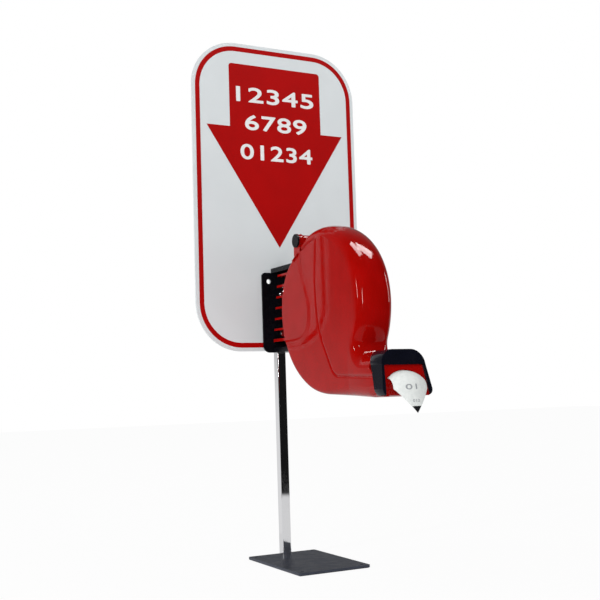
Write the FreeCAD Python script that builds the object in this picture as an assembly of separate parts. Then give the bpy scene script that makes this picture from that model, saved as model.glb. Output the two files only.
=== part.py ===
# Queue-ticket dispenser on a counter stand: a snail-shaped casing that holds a
# roll of paper tickets, a hinged front cover with a mouth, a wall bracket, an
# upright sign panel, and a square pole on a flat foot plate.
# Frame: origin at the centre of the underside of the foot, +Z up, -Y to the
# person who takes a ticket, +X to that person's right. Millimetres.
import FreeCAD, Part
import math
import os

V = FreeCAD.Vector
X_AXIS = V(1, 0, 0)

# ---- foot and pole -------------------------------------------------------
PLATE_WIDTH = 101.6
PLATE_DEPTH = 152.4
PLATE_THICK = 3.2
PLATE_CORNER = 2.5
PLATE_HOLE_R = 2.25
PLATE_HOLE_INSET = 8.0
PAD_THICK = 0.8
PAD_INSET = 1.5
POLE_SIDE = 12.7
POLE_WALL = 1.5
POLE_CORNER = 1.2
POLE_SETBACK = 11.34          # pole axis to the rear edge of the plate
POLE_TOP = 562.0
PLUG_LENGTH = 24.0
FOOT_SCREW_R = 3.0
FOOT_SCREW_HEAD_R = 5.6
CAP_RIM = 2.0
CAP_DEPTH = 12.0

# ---- sign ----------------------------------------------------------------
SIGN_WIDTH = 254.0
SIGN_HEIGHT = 432.0
SIGN_THICK = 3.0
SIGN_CORNER = 66.0
SIGN_BOTTOM = 282.6
TAPE_THICK = 0.8
TAPE_WIDTH = 10.0
FILM_THICK = 0.15
STRIPE_INSET = 5.0
STRIPE_WIDTH = 6.57
ARROW_SIDE_MARGIN = 20.7      # widest part of the arrow to the sign's edge
ARROW_BARB = 34.9             # how far the head stands out past the body
ARROW_TOP_MARGIN = 29.2
ARROW_BODY_LENGTH = 90.2
ARROW_HEAD_LENGTH = 168.0
ARROW_CORNER = 4.5

# ---- bracket on the sign -------------------------------------------------
BRACKET_HALF = 30.0
BRACKET_THICK = 2.6
BRACKET_DROP = 2.3            # the bracket hangs this far below the sign
FLANGE_HEIGHT = 110.7
MIDDLE_RISE = 6.0             # the middle part stands above the flanges
BRACKET_TOP_CORNER = 5.0
BRACKET_BOTTOM_CORNER = 10.0
ARM_HALF = 15.0
ARM_THICK = 6.5
TOP_ARM_REACH = 61.0          # arms, from the face of the bracket plate
BOTTOM_ARM_REACH = 46.0
FLANGE_HOLE_R = 3.5
FLANGE_HOLE_X = 19.5
FLANGE_HOLE_DROP = 12.0       # below the top of the flanges
BRACKET_SCREW_R = 2.5
BRACKET_SCREW_HEAD_R = 4.5
BRACKET_SCREW_HEAD = 2.6
BRACKET_SCREW_RISE = (26.1, 81.5)
SCREW_CLEAR = 0.2
WASHER_R = 5.5
WASHER_THICK = 1.0
NUT_FLATS = 8.0
NUT_THICK = 4.0

# ---- rack of ribs behind the casing --------------------------------------
FIN_PITCH = 14.67
FIN_THICK = 2.8
FIRST_FIN_THICK = 3.8
FIRST_FIN_RISE = 16.4         # above the bottom of the bracket
FIN_ARM_CLEAR = 2.0           # top rib to the arm above it
FIN_LEAN = 2.95               # each rib ends this much further from the bracket
FIN_GAP = 0.6                 # lowest rib to the face of the bracket plate
SPINE_THICK = 3.0
SPINE_HALF = 13.0
RACK_PIN_R = 2.5
RACK_PIN_REACH = 32.0         # pin axis, from the face of the bracket plate
RACK_PIN_CLEAR = 0.2
RACK_PIN_HEAD_R = 4.6
RACK_PIN_HEAD = 2.0

# ---- casing --------------------------------------------------------------
WALL = 2.4
PAPER_SIDE_GAP = 1.1          # ticket to the inside of the casing
BACK_CLEAR = 60.5             # back of the casing, in front of the pole axis
DRUM_RISE = 49.7              # drum axis, above the bottom of the bracket
CROWN_R = 104.5
CROWN_ROUND = 15.0
BACK_DROP = 4.0               # the back circle is this much smaller
BACK_ROUND = 6.0
SHOULDER_R = 68.0
SHOULDER_START = 15.0         # angles about the drum axis, degrees from +Y
SHOULDER_END = 67.0
BELLY_START = -50.0
BOTTOM_DZ = -107.07           # floor of the casing under the drum axis
BOTTOM_SLOPE = 2.54           # degrees, falling to the front
NECK_R = 12.0
SNOUT_TOP_DZ = -64.5
SNOUT_ROOT_DY = -72.0
SNOUT_ROOT_INSET = 0.4
SNOUT_TOP_SPREAD = 2.7        # the snout is wider than the casing by this
SNOUT_BOTTOM_SPREAD = 6.5
MOUTH_BACK = ((-122.6, -60.0), (-147.2, -118.0))
MOUTH_FRONT = ((-149.6, -60.0), (-162.8, -118.0))
PARTING_GAP = 0.5
PARTING_DROP = 18.5           # parting line under the crown
PARTING_TOP_DY = -1.7
HINGE_FOOT_DY = 38.0          # where the parting line leaves the hinge

# ---- hinge ---------------------------------------------------------------
HINGE_DY = 49.0
HINGE_INSET = 1.15            # hinge axis inside the crown's circle
PIN_R = 2.5
PIN_CLEAR = 0.06
KNUCKLE_R = 7.6
EAR_THICK = 5.45
EAR_R = 8.4
EAR_GAP = 0.45
HINGE_CAP_R = 8.8
HINGE_CAP_THICK = 2.5
PIN_IN_CAP = 1.8

# ---- mouth ---------------------------------------------------------------
BEZEL_PROUD = 0.7             # bezel outside the snout, at each side
BEZEL_CREST = 4.5             # and above it
BEZEL_HEIGHT = 53.5
BEZEL_ROUND = 17.0
BEZEL_FOOT_ROUND = 9.0        # outer bottom corners, from the front
BEZEL_TOE_ROUND = 4.5         # bottom corners, from the side
BEZEL_TOP_BAND = 17.5
BEZEL_TOP_POST = 2.9          # width of the posts, above and below
BEZEL_BOTTOM_POST = 3.5
BEZEL_SKIN = 3.0
POCKET_INSET = 7.0
POCKET_HEIGHT = 10.0
JAW_THICK = 3.0
TONGUE_THICK = 2.6
TONGUE_REAR = 42.0            # back from the exit, along the paper
TONGUE_FRONT = 4.0
TONGUE_SIDE_GAP = 1.4
JAW_SIDE_GAP = 0.6

# ---- paper ---------------------------------------------------------------
TICKET_WIDTH = 44.0
PAPER_THICK = 0.3
PAPER_GAP = 0.5
EXIT_DY = -151.0              # where the paper leaves, from the drum axis
EXIT_DZ = -84.0
ARCH_R = 34.0
ARCH_KEPT = 92.0              # length of web behind the exit that keeps its arch
WEB_AHEAD = 4.0
BEND_R = 20.0
HANG_ANGLE = 80.5             # below level, once the ticket hangs
TICKET_TIP_DZ = -131.4        # the hanging ticket's point and shoulders
TICKET_SHOULDER_DZ = -104.5
ROLL_R = 60.0
ROLL_DY = 22.0                # roll axis, from the drum axis
ROLL_DZ = -2.0
ROLL_GAP = 0.4
CORE_WALL = 2.2
CORE_GAP = 0.35
SPINDLE_R = 12.0
SPINDLE_WALL = 2.4
SPINDLE_REACH = 42.0
SPINDLE_SCREW_R = 1.9
SPINDLE_SCREW_HEAD_R = 3.6
SPINDLE_SCREW_HEAD = 2.2
SPINDLE_SCREW_LENGTH = 7.0

# ---- places worked out from the sizes above ------------------------------
PLATE_TOP = PAD_THICK + PLATE_THICK
POLE_Y = PLATE_DEPTH / 2 - POLE_SETBACK
POLE_FRONT = POLE_Y - POLE_SIDE / 2
POLE_REAR = POLE_Y + POLE_SIDE / 2
SIGN_BACK = POLE_FRONT - TAPE_THICK
SIGN_FRONT = SIGN_BACK - SIGN_THICK
SIGN_MIDDLE = SIGN_BOTTOM + SIGN_HEIGHT / 2
ARROW_HEAD_HALF = SIGN_WIDTH / 2 - ARROW_SIDE_MARGIN
ARROW_BODY_HALF = ARROW_HEAD_HALF - ARROW_BARB
ARROW_TOP = SIGN_HEIGHT / 2 - ARROW_TOP_MARGIN
ARROW_SHOULDER = ARROW_TOP - ARROW_BODY_LENGTH
ARROW_TIP = ARROW_SHOULDER - ARROW_HEAD_LENGTH
BRACKET_BOTTOM = SIGN_BOTTOM - BRACKET_DROP
BRACKET_SHOULDER = BRACKET_BOTTOM + FLANGE_HEIGHT
BRACKET_TOP = BRACKET_SHOULDER + MIDDLE_RISE
FLANGE_HOLE_Z = BRACKET_SHOULDER - FLANGE_HOLE_DROP
BRACKET_SCREW_Z = [BRACKET_BOTTOM + rise for rise in BRACKET_SCREW_RISE]
FIRST_FIN_Z = BRACKET_BOTTOM + FIRST_FIN_RISE
FIN_ROOM = BRACKET_TOP - ARM_THICK - FIN_ARM_CLEAR - FIN_THICK / 2 - FIRST_FIN_Z
FIN_COUNT = int(FIN_ROOM / FIN_PITCH) + 1
BRACKET_FACE = SIGN_FRONT - BRACKET_THICK
RACK_PIN_Y = BRACKET_FACE - RACK_PIN_REACH
BACK_R = CROWN_R - BACK_DROP
DRUM_Y = POLE_Y - BACK_CLEAR - BACK_R
DRUM_Z = BRACKET_BOTTOM + DRUM_RISE
PARTING_R = CROWN_R - PARTING_DROP
HINGE_DZ = math.sqrt((CROWN_R - HINGE_INSET) ** 2 - HINGE_DY ** 2)
HINGE_Y = DRUM_Y + HINGE_DY
HINGE_Z = DRUM_Z + HINGE_DZ
TICKET_HALF = TICKET_WIDTH / 2
INSIDE_HALF = TICKET_HALF + PAPER_SIDE_GAP
HALF_WIDTH = INSIDE_HALF + WALL
KNUCKLE_HALF = HALF_WIDTH - EAR_THICK - EAR_GAP
SNOUT_TOP_HALF = HALF_WIDTH + SNOUT_TOP_SPREAD
SNOUT_BOTTOM_HALF = HALF_WIDTH + SNOUT_BOTTOM_SPREAD
BEZEL_TOP = DRUM_Z + SNOUT_TOP_DZ + BEZEL_CREST
BEZEL_BOTTOM = BEZEL_TOP - BEZEL_HEIGHT
BEZEL_TOP_HALF = SNOUT_TOP_HALF + BEZEL_PROUD
BEZEL_BOTTOM_HALF = SNOUT_BOTTOM_HALF + BEZEL_PROUD
OPENING_TOP = BEZEL_TOP - BEZEL_TOP_BAND
OPENING_TOP_HALF = BEZEL_TOP_HALF - BEZEL_TOP_POST
OPENING_BOTTOM_HALF = BEZEL_BOTTOM_HALF - BEZEL_BOTTOM_POST
POCKET_HALF = OPENING_TOP_HALF - POCKET_INSET
POCKET_TOP = OPENING_TOP + POCKET_HEIGHT
TICKET_TIP_Z = DRUM_Z + TICKET_TIP_DZ
TICKET_SHOULDER_Z = DRUM_Z + TICKET_SHOULDER_DZ
TONGUE_HALF = TICKET_HALF + TONGUE_SIDE_GAP
JAW_OPENING_HALF = TONGUE_HALF + JAW_SIDE_GAP
PAPER_R_OUT = ARCH_R + PAPER_THICK / 2
PAPER_R_IN = ARCH_R - PAPER_THICK / 2
WEB_OFFSET = ROLL_R + ROLL_GAP + PAPER_THICK / 2
ROLL_Y = DRUM_Y + ROLL_DY
ROLL_Z = DRUM_Z + ROLL_DZ
EXIT_REACH = math.hypot(ROLL_DY - EXIT_DY, ROLL_DZ - EXIT_DZ)
EXIT_RISE = math.atan2(ROLL_DZ - EXIT_DZ, ROLL_DY - EXIT_DY)
PATH_TILT = math.degrees(EXIT_RISE - math.asin(WEB_OFFSET / EXIT_REACH))
BEND_ANGLE = HANG_ANGLE - PATH_TILT
WEB_LENGTH = math.sqrt(EXIT_REACH ** 2 - WEB_OFFSET ** 2)
FAR = 400.0


# ---- small helpers -------------------------------------------------------
def save(name, shape):
    """Write one named piece to its own STEP file."""
    shape.exportStep("parts/" + name + ".step")
    print(name, len(shape.Solids), round(shape.Volume, 1), shape.isValid())


def box(x0, x1, y0, y1, z0, z1):
    return Part.makeBox(x1 - x0, y1 - y0, z1 - z0, V(x0, y0, z0))


def cylinder(radius, start, end):
    return Part.makeCylinder(radius, (end - start).Length, start, end - start)


def line(a, b):
    return Part.LineSegment(a, b).toShape()


def arc(a, middle, b):
    return Part.Arc(a, middle, b).toShape()


def at(dy, dz):
    """A point in the middle plane, measured from the drum axis."""
    return V(0, DRUM_Y + dy, DRUM_Z + dz)


def polar(centre, radius, degrees):
    """A point on a circle in the middle plane, from its (dy, dz) centre."""
    angle = math.radians(degrees)
    return at(centre[0] + radius * math.cos(angle), centre[1] + radius * math.sin(angle))


def arc_about(centre, radius, start, end):
    """An arc in the middle plane, from one angle to another about (dy, dz)."""
    middle = (start + end) / 2
    return arc(polar(centre, radius, start), polar(centre, radius, middle), polar(centre, radius, end))


def face_of(edges):
    return Part.Face(Part.Wire(Part.__sortEdges__(edges)))


def polygon_face(points):
    return Part.Face(Part.makePolygon(list(points) + [points[0]]))


def prism(face, half):
    """A middle-plane face drawn out the same distance to both sides."""
    moved = face.translated(V(-half, 0, 0))
    return moved.extrude(V(2 * half, 0, 0))


def rounded_rectangle(half_x, half_z, radius, y, middle_z):
    """A rounded rectangle facing -Y, centred on x = 0."""
    flat_x = half_x - radius
    flat_z = half_z - radius
    cut = radius * (1 - math.sqrt(0.5))
    edges = []
    for sx, sz in ((1, 1), (1, -1), (-1, -1), (-1, 1)):
        side = V(sx * half_x, y, middle_z + sz * flat_z)
        top = V(sx * flat_x, y, middle_z + sz * half_z)
        corner = V(sx * (half_x - cut), y, middle_z + sz * (half_z - cut))
        edges.append(arc(side, corner, top))
    for s in (1, -1):
        edges.append(line(V(s * half_x, y, middle_z - flat_z), V(s * half_x, y, middle_z + flat_z)))
        edges.append(line(V(-flat_x, y, middle_z + s * half_z), V(flat_x, y, middle_z + s * half_z)))
    return face_of(edges)


def on_paper(shape):
    """Move a shape drawn with the exit at the origin onto the paper's path.

    In that drawing +Y runs back along the paper to the roll and +Z is square
    to the paper.
    """
    placed = shape.copy()
    placed.rotate(V(0, 0, 0), X_AXIS, PATH_TILT)
    placed.translate(at(EXIT_DY, EXIT_DZ))
    return placed


# ---- stand ---------------------------------------------------------------
def plate_holes(z0, z1):
    holes = []
    for sx in (1, -1):
        for sy in (1, -1):
            x = sx * (PLATE_WIDTH / 2 - PLATE_HOLE_INSET)
            y = sy * (PLATE_DEPTH / 2 - PLATE_HOLE_INSET)
            holes.append(cylinder(PLATE_HOLE_R, V(x, y, z0), V(x, y, z1)))
    return holes


def upright_edges(shape, height):
    return [e for e in shape.Edges if abs(e.Length - height) < 1e-6 and e.BoundBox.ZLength > height / 2]


def countersink():
    """The cone of the foot screw's head, flush with the plate's underside."""
    cone_height = FOOT_SCREW_HEAD_R - FOOT_SCREW_R
    base = V(0, POLE_Y, PAD_THICK)
    return Part.makeCone(FOOT_SCREW_HEAD_R, FOOT_SCREW_R, cone_height, base)


def build_base_pad():
    half_x = PLATE_WIDTH / 2 - PAD_INSET
    half_y = PLATE_DEPTH / 2 - PAD_INSET
    pad = box(-half_x, half_x, -half_y, half_y, 0, PAD_THICK)
    head_room = cylinder(FOOT_SCREW_HEAD_R + SCREW_CLEAR, V(0, POLE_Y, 0), V(0, POLE_Y, PAD_THICK))
    return pad.cut(plate_holes(0, PAD_THICK) + [head_room])


def build_base_plate():
    plate = box(-PLATE_WIDTH / 2, PLATE_WIDTH / 2, -PLATE_DEPTH / 2, PLATE_DEPTH / 2, PAD_THICK, PLATE_TOP)
    plate = plate.makeFillet(PLATE_CORNER, upright_edges(plate, PLATE_THICK))
    shank = cylinder(FOOT_SCREW_R, V(0, POLE_Y, PAD_THICK), V(0, POLE_Y, PLATE_TOP))
    return plate.cut(plate_holes(PAD_THICK, PLATE_TOP) + [shank, countersink()])


def build_foot_screw():
    shank_top = PLATE_TOP + PLUG_LENGTH * 2 / 3
    shank = cylinder(FOOT_SCREW_R, V(0, POLE_Y, PAD_THICK), V(0, POLE_Y, shank_top))
    return shank.fuse(countersink()).removeSplitter()


def square_bar(side, z0, z1, corner):
    half = side / 2
    bar = box(-half, half, POLE_Y - half, POLE_Y + half, z0, z1)
    return bar.makeFillet(corner, upright_edges(bar, z1 - z0)) if corner > 0 else bar


def build_foot_plug():
    """The steel block inside the foot of the pole that takes the foot screw."""
    plug = square_bar(POLE_SIDE - 2 * POLE_WALL, PLATE_TOP, PLATE_TOP + PLUG_LENGTH, 0)
    bore = cylinder(FOOT_SCREW_R, V(0, POLE_Y, PLATE_TOP), V(0, POLE_Y, PLATE_TOP + PLUG_LENGTH))
    return plug.cut(bore)


def screw_line(radius, z, y0, y1):
    return cylinder(radius, V(0, y0, z), V(0, y1, z))


def screw_bores(y0, y1):
    return [screw_line(BRACKET_SCREW_R + SCREW_CLEAR, z, y0, y1) for z in BRACKET_SCREW_Z]


def build_pole():
    tube = square_bar(POLE_SIDE, PLATE_TOP, POLE_TOP, POLE_CORNER)
    hollow = square_bar(POLE_SIDE - 2 * POLE_WALL, PLATE_TOP, POLE_TOP, 0)
    return tube.cut([hollow] + screw_bores(POLE_FRONT, POLE_REAR))


def build_pole_cap():
    rim = square_bar(POLE_SIDE, POLE_TOP, POLE_TOP + CAP_RIM, POLE_CORNER)
    stem = square_bar(POLE_SIDE - 2 * POLE_WALL, POLE_TOP - CAP_DEPTH, POLE_TOP, 0)
    return rim.fuse(stem).removeSplitter()


# ---- sign ----------------------------------------------------------------
def flange_holes(y0, y1):
    return [cylinder(FLANGE_HOLE_R, V(s * FLANGE_HOLE_X, y0, FLANGE_HOLE_Z),
                     V(s * FLANGE_HOLE_X, y1, FLANGE_HOLE_Z)) for s in (1, -1)]


def build_sign_tape():
    tape = box(-TAPE_WIDTH / 2, TAPE_WIDTH / 2, SIGN_BACK, POLE_FRONT, SIGN_BOTTOM + STRIPE_INSET, POLE_TOP)
    return tape.cut(screw_bores(SIGN_BACK, POLE_FRONT))


def build_sign_panel():
    face = rounded_rectangle(SIGN_WIDTH / 2, SIGN_HEIGHT / 2, SIGN_CORNER, SIGN_FRONT, SIGN_MIDDLE)
    panel = face.extrude(V(0, SIGN_THICK, 0))
    return panel.cut(screw_bores(SIGN_FRONT, SIGN_BACK) + flange_holes(SIGN_FRONT, SIGN_BACK))


def build_sign_border():
    """The printed stripe that runs round the panel, stopped at the bracket."""
    rings = []
    for inset in (STRIPE_INSET, STRIPE_INSET + STRIPE_WIDTH):
        ring = rounded_rectangle(SIGN_WIDTH / 2 - inset, SIGN_HEIGHT / 2 - inset, SIGN_CORNER - inset,
                                 SIGN_FRONT - FILM_THICK, SIGN_MIDDLE)
        rings.append(ring.extrude(V(0, FILM_THICK, 0)))
    bracket = bracket_plate_shape(SIGN_FRONT - FILM_THICK, SIGN_FRONT)
    return rings[0].cut([rings[1], bracket])


def build_sign_arrow():
    """The broad printed arrow that points down at the dispenser."""
    y = SIGN_FRONT - FILM_THICK
    outline = ((-ARROW_BODY_HALF, ARROW_TOP), (ARROW_BODY_HALF, ARROW_TOP), (ARROW_BODY_HALF, ARROW_SHOULDER),
               (ARROW_HEAD_HALF, ARROW_SHOULDER), (0, ARROW_TIP), (-ARROW_HEAD_HALF, ARROW_SHOULDER),
               (-ARROW_BODY_HALF, ARROW_SHOULDER))
    face = polygon_face([V(x, y, SIGN_MIDDLE + z) for x, z in outline])
    arrow = face.extrude(V(0, FILM_THICK, 0))
    top_z = SIGN_MIDDLE + ARROW_TOP
    corners = [e for e in arrow.Edges if e.BoundBox.YLength > FILM_THICK / 2 and e.BoundBox.ZMin > top_z - 1]
    return arrow.makeFillet(ARROW_CORNER, corners)


# ---- bracket -------------------------------------------------------------
def cross_edges(shape, z):
    """Edges that run straight along Y at one height."""
    return [e for e in shape.Edges if e.BoundBox.YLength > 1e-3 and e.BoundBox.XLength < 1e-6
            and abs(e.BoundBox.ZMin - z) < 1e-6 and e.BoundBox.ZLength < 1e-6]


def bracket_plate_shape(y_front, y_back):
    """The flat plate: two flanges and a slightly taller middle."""
    flange = box(-BRACKET_HALF, BRACKET_HALF, y_front, y_back, BRACKET_BOTTOM, BRACKET_SHOULDER)
    for z, radius in ((BRACKET_SHOULDER, BRACKET_TOP_CORNER), (BRACKET_BOTTOM, BRACKET_BOTTOM_CORNER)):
        flange = flange.makeFillet(radius, cross_edges(flange, z))
    middle = box(-ARM_HALF, ARM_HALF, y_front, y_back, BRACKET_BOTTOM, BRACKET_TOP)
    return flange.fuse(middle).removeSplitter()


def rack_pin_bore(z0, z1):
    return cylinder(RACK_PIN_R + RACK_PIN_CLEAR, V(0, RACK_PIN_Y, z0), V(0, RACK_PIN_Y, z1))


def build_wall_bracket():
    """Plate with an arm above and an arm below that hold the rack pin."""
    plate = bracket_plate_shape(BRACKET_FACE, SIGN_FRONT)
    top_arm = box(-ARM_HALF, ARM_HALF, BRACKET_FACE - TOP_ARM_REACH, BRACKET_FACE,
                  BRACKET_TOP - ARM_THICK, BRACKET_TOP)
    bottom_arm = box(-ARM_HALF, ARM_HALF, BRACKET_FACE - BOTTOM_ARM_REACH, BRACKET_FACE,
                     BRACKET_BOTTOM, BRACKET_BOTTOM + ARM_THICK)
    head_room = cylinder(RACK_PIN_HEAD_R + RACK_PIN_CLEAR, V(0, RACK_PIN_Y, BRACKET_TOP - RACK_PIN_HEAD),
                         V(0, RACK_PIN_Y, BRACKET_TOP))
    body = plate.fuse([top_arm, bottom_arm]).removeSplitter()
    cuts = screw_bores(BRACKET_FACE, SIGN_FRONT) + flange_holes(BRACKET_FACE, SIGN_FRONT)
    return body.cut(cuts + [rack_pin_bore(BRACKET_BOTTOM, BRACKET_TOP), head_room])


def build_rack_pin():
    """Steel pin, its head let into the top arm and its foot riveted over."""
    foot = BRACKET_BOTTOM - RACK_PIN_HEAD
    shank = cylinder(RACK_PIN_R, V(0, RACK_PIN_Y, foot), V(0, RACK_PIN_Y, BRACKET_TOP))
    head = cylinder(RACK_PIN_HEAD_R, V(0, RACK_PIN_Y, BRACKET_TOP - RACK_PIN_HEAD), V(0, RACK_PIN_Y, BRACKET_TOP))
    rivet = cylinder(RACK_PIN_HEAD_R, V(0, RACK_PIN_Y, foot), V(0, RACK_PIN_Y, BRACKET_BOTTOM))
    return shank.fuse([head, rivet]).removeSplitter()


def build_bracket_screws():
    """Two pan-head screws through bracket, sign, tape and pole."""
    tip = POLE_REAR + WASHER_THICK + NUT_THICK + 1.5
    screws = []
    for z in BRACKET_SCREW_Z:
        shank = screw_line(BRACKET_SCREW_R, z, BRACKET_FACE, tip)
        head = screw_line(BRACKET_SCREW_HEAD_R, z, BRACKET_FACE - BRACKET_SCREW_HEAD, BRACKET_FACE)
        rim = [e for e in head.Edges if abs(e.BoundBox.YMin - head.BoundBox.YMin) < 1e-3
               and e.BoundBox.YLength < 1e-3]
        head = head.makeFillet(BRACKET_SCREW_HEAD / 2, rim)
        screws.append(head.fuse(shank).removeSplitter())
    return Part.makeCompound(screws)


def build_bracket_washers():
    washers = []
    for z in BRACKET_SCREW_Z:
        disc = screw_line(WASHER_R, z, POLE_REAR, POLE_REAR + WASHER_THICK)
        bore = screw_line(BRACKET_SCREW_R + SCREW_CLEAR, z, POLE_REAR, POLE_REAR + WASHER_THICK)
        washers.append(disc.cut(bore))
    return Part.makeCompound(washers)


def build_bracket_nuts():
    nuts = []
    y0 = POLE_REAR + WASHER_THICK
    radius = NUT_FLATS / math.sqrt(3)
    for z in BRACKET_SCREW_Z:
        angles = [math.radians(60 * i) for i in range(6)]
        hexagon = polygon_face([V(radius * math.cos(a), y0, z + radius * math.sin(a)) for a in angles])
        body = hexagon.extrude(V(0, NUT_THICK, 0))
        nuts.append(body.cut(screw_line(BRACKET_SCREW_R, z, y0, y0 + NUT_THICK)))
    return Part.makeCompound(nuts)


# ---- casing outline ------------------------------------------------------
def bottom_z(dy):
    """Height of the casing's floor line, from the drum axis."""
    return BOTTOM_DZ + math.tan(math.radians(BOTTOM_SLOPE)) * dy


def mouth_line(ends, dz):
    """dy of a slanted mouth line at height dz."""
    (y0, z0), (y1, z1) = ends
    return y0 + (y1 - y0) * (dz - z0) / (z1 - z0)


def belly_arc():
    """Centre, radius and start angle of the arc from the floor line to the back.

    It touches the floor line and, inside, the back circle at BELLY_START.
    """
    slope = math.radians(BOTTOM_SLOPE)
    turn = math.radians(BELLY_START)
    lean = math.sin(slope) * math.cos(turn) - math.cos(slope) * math.sin(turn)
    reach = -BOTTOM_DZ * math.cos(slope)
    radius = (reach - BACK_R * lean) / (1 - lean)
    centre = (-(radius - BACK_R) * math.cos(turn), -(radius - BACK_R) * math.sin(turn))
    return centre, radius, BOTTOM_SLOPE - 90


def casing_face():
    """Side view of the casing as a face in the middle plane."""
    hinge_angle = math.degrees(math.atan2(HINGE_DZ, HINGE_DY))
    neck_dz = SNOUT_TOP_DZ + NECK_R
    neck_dy = -math.sqrt((CROWN_R + NECK_R) ** 2 - neck_dz ** 2)
    neck_angle = math.degrees(math.atan2(-neck_dz, -neck_dy))
    belly_centre, belly_r, belly_angle = belly_arc()
    inward = BACK_R - SHOULDER_R
    turn = math.radians(SHOULDER_START)
    shoulder = (inward * math.cos(turn), inward * math.sin(turn))
    front_top = (mouth_line(MOUTH_BACK, SNOUT_TOP_DZ), SNOUT_TOP_DZ)
    front_dy = mouth_line(MOUTH_BACK, BOTTOM_DZ - WALL * 2)
    front_bottom = (front_dy, bottom_z(front_dy))
    crown = arc_about((0, 0), CROWN_R, hinge_angle, 180 + neck_angle)
    neck = arc_about((neck_dy, neck_dz), NECK_R, neck_angle, -90)
    belly = arc_about(belly_centre, belly_r, belly_angle, BELLY_START)
    back = arc_about((0, 0), BACK_R, BELLY_START, SHOULDER_START)
    shoulder_arc = arc_about(shoulder, SHOULDER_R, SHOULDER_START, SHOULDER_END)
    edges = [crown, neck, line(at(neck_dy, SNOUT_TOP_DZ), at(*front_top)), line(at(*front_top), at(*front_bottom)),
             line(at(*front_bottom), polar(belly_centre, belly_r, belly_angle)), belly, back, shoulder_arc,
             line(polar(shoulder, SHOULDER_R, SHOULDER_END), polar((0, 0), CROWN_R, hinge_angle))]
    return Part.Face(Part.Wire(edges))


def cover_side_face():
    """Everything on the cover's side of the parting line, in the middle plane.

    The line follows a circle under the crown from the hinge, drops down the
    side just behind the drum axis, and runs forward along the snout.
    """
    start = math.degrees(math.acos(HINGE_FOOT_DY / PARTING_R))
    end = math.degrees(math.acos(PARTING_TOP_DY / PARTING_R))
    top = polar((0, 0), PARTING_R, end)
    drop = at(3.9, 32.0)
    knee = at(-8.2, -40.0)
    heel = at(-31.0, -76.6)
    toe = at(-45.0, -86.6)
    front = at(-175.0, -91.0)
    edges = [line(at(HINGE_DY, HINGE_DZ), polar((0, 0), PARTING_R, start)),
             arc_about((0, 0), PARTING_R, start, end),
             line(top, drop), arc(drop, at(3.3, -13.0), knee), line(knee, heel),
             arc(heel, at(-36.6, -83.2), toe), line(toe, front),
             line(front, at(-175.0, 130.0)), line(at(-175.0, 130.0), at(HINGE_DY, 130.0)),
             line(at(HINGE_DY, 130.0), at(HINGE_DY, HINGE_DZ))]
    return Part.Face(Part.Wire(edges))


def behind_mouth(setback):
    """Everything behind the slanted back edge of the mouth."""
    points = [at(mouth_line(MOUTH_BACK, dz) + setback, dz) for dz in (-150.0, 150.0)]
    return prism(polygon_face(points + [at(250, 150), at(250, -150)]), 2 * HALF_WIDTH)


def snout_section(dy, top_half, bottom_half, inset):
    """A cross-section of the snout: round above, tighter below."""
    y = DRUM_Y + dy
    z1 = DRUM_Z + SNOUT_TOP_DZ - inset
    z0 = DRUM_Z + bottom_z(dy) + inset
    top = top_half - inset
    low = bottom_half - inset
    r1 = CROWN_ROUND - inset
    r0 = BACK_ROUND - inset
    k = 1 - math.sqrt(0.5)
    edges = []
    for s in (1, -1):
        edges.append(arc(V(s * (low - r0), y, z0), V(s * (low - r0 * k), y, z0 + r0 * k), V(s * low, y, z0 + r0)))
        edges.append(line(V(s * low, y, z0 + r0), V(s * top, y, z1 - r1)))
        edges.append(arc(V(s * top, y, z1 - r1), V(s * (top - r1 * k), y, z1 - r1 * k), V(s * (top - r1), y, z1)))
    edges.append(line(V(-(low - r0), y, z0), V(low - r0, y, z0)))
    edges.append(line(V(-(top - r1), y, z1), V(top - r1, y, z1)))
    return Part.Wire(Part.__sortEdges__(edges))


def snout(inset):
    """The snout, which widens from the casing to the mouth.

    It starts a little inside the casing, so that it grows out of its sides.
    """
    reach = mouth_line(MOUTH_BACK, bottom_z(SNOUT_ROOT_DY)) - 2 * WALL
    sections = [snout_section(SNOUT_ROOT_DY, HALF_WIDTH, HALF_WIDTH, inset + SNOUT_ROOT_INSET),
                snout_section(reach, SNOUT_TOP_HALF, SNOUT_BOTTOM_HALF, inset)]
    return Part.makeLoft(sections, True, True)


def edges_along(solid, half, keep):
    """Edges of the two flat sides that satisfy a test on their middle point."""
    found = []
    for edge in solid.Edges:
        bounds = edge.BoundBox
        flat = bounds.XLength < 1e-6 and abs(abs(bounds.XMin) - half) < 1e-6
        middle = edge.valueAt((edge.FirstParameter + edge.LastParameter) / 2)
        if flat and keep(middle.y - DRUM_Y, middle.z - DRUM_Z):
            found.append(edge)
    return found


def is_crown(dy, dz):
    """True on the crown, the neck and the top of the snout."""
    above_mouth = dz > SNOUT_TOP_DZ - 1.0
    ahead = dy < HINGE_DY - 5.0
    off_back = not (dy > 0 and math.hypot(dy, dz) < BACK_R + 1.0)
    return above_mouth and ahead and off_back


def is_back(dy, dz):
    """True on the floor line, the belly, the back and its shoulder."""
    low = dz < BOTTOM_DZ + 1.0 and dy < 0 and dy > mouth_line(MOUTH_BACK, dz) + 5.0
    behind = dy > 0 and not (math.hypot(dy - HINGE_DY, dz - HINGE_DZ) < EAR_R + 6.0)
    return low or behind


def hollow_block(keep, rounding):
    """Outer and inner solid of a casing half, rounded along the chosen edges."""
    outline = casing_face()
    outer = prism(outline, HALF_WIDTH)
    outer = outer.makeFillet(rounding, edges_along(outer, HALF_WIDTH, keep))
    inner = prism(outline.makeOffset2D(-WALL), INSIDE_HALF)
    inner = inner.makeFillet(rounding - WALL, edges_along(inner, INSIDE_HALF, keep))
    return outer.fuse(snout(0)), inner.fuse(snout(WALL))


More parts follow.
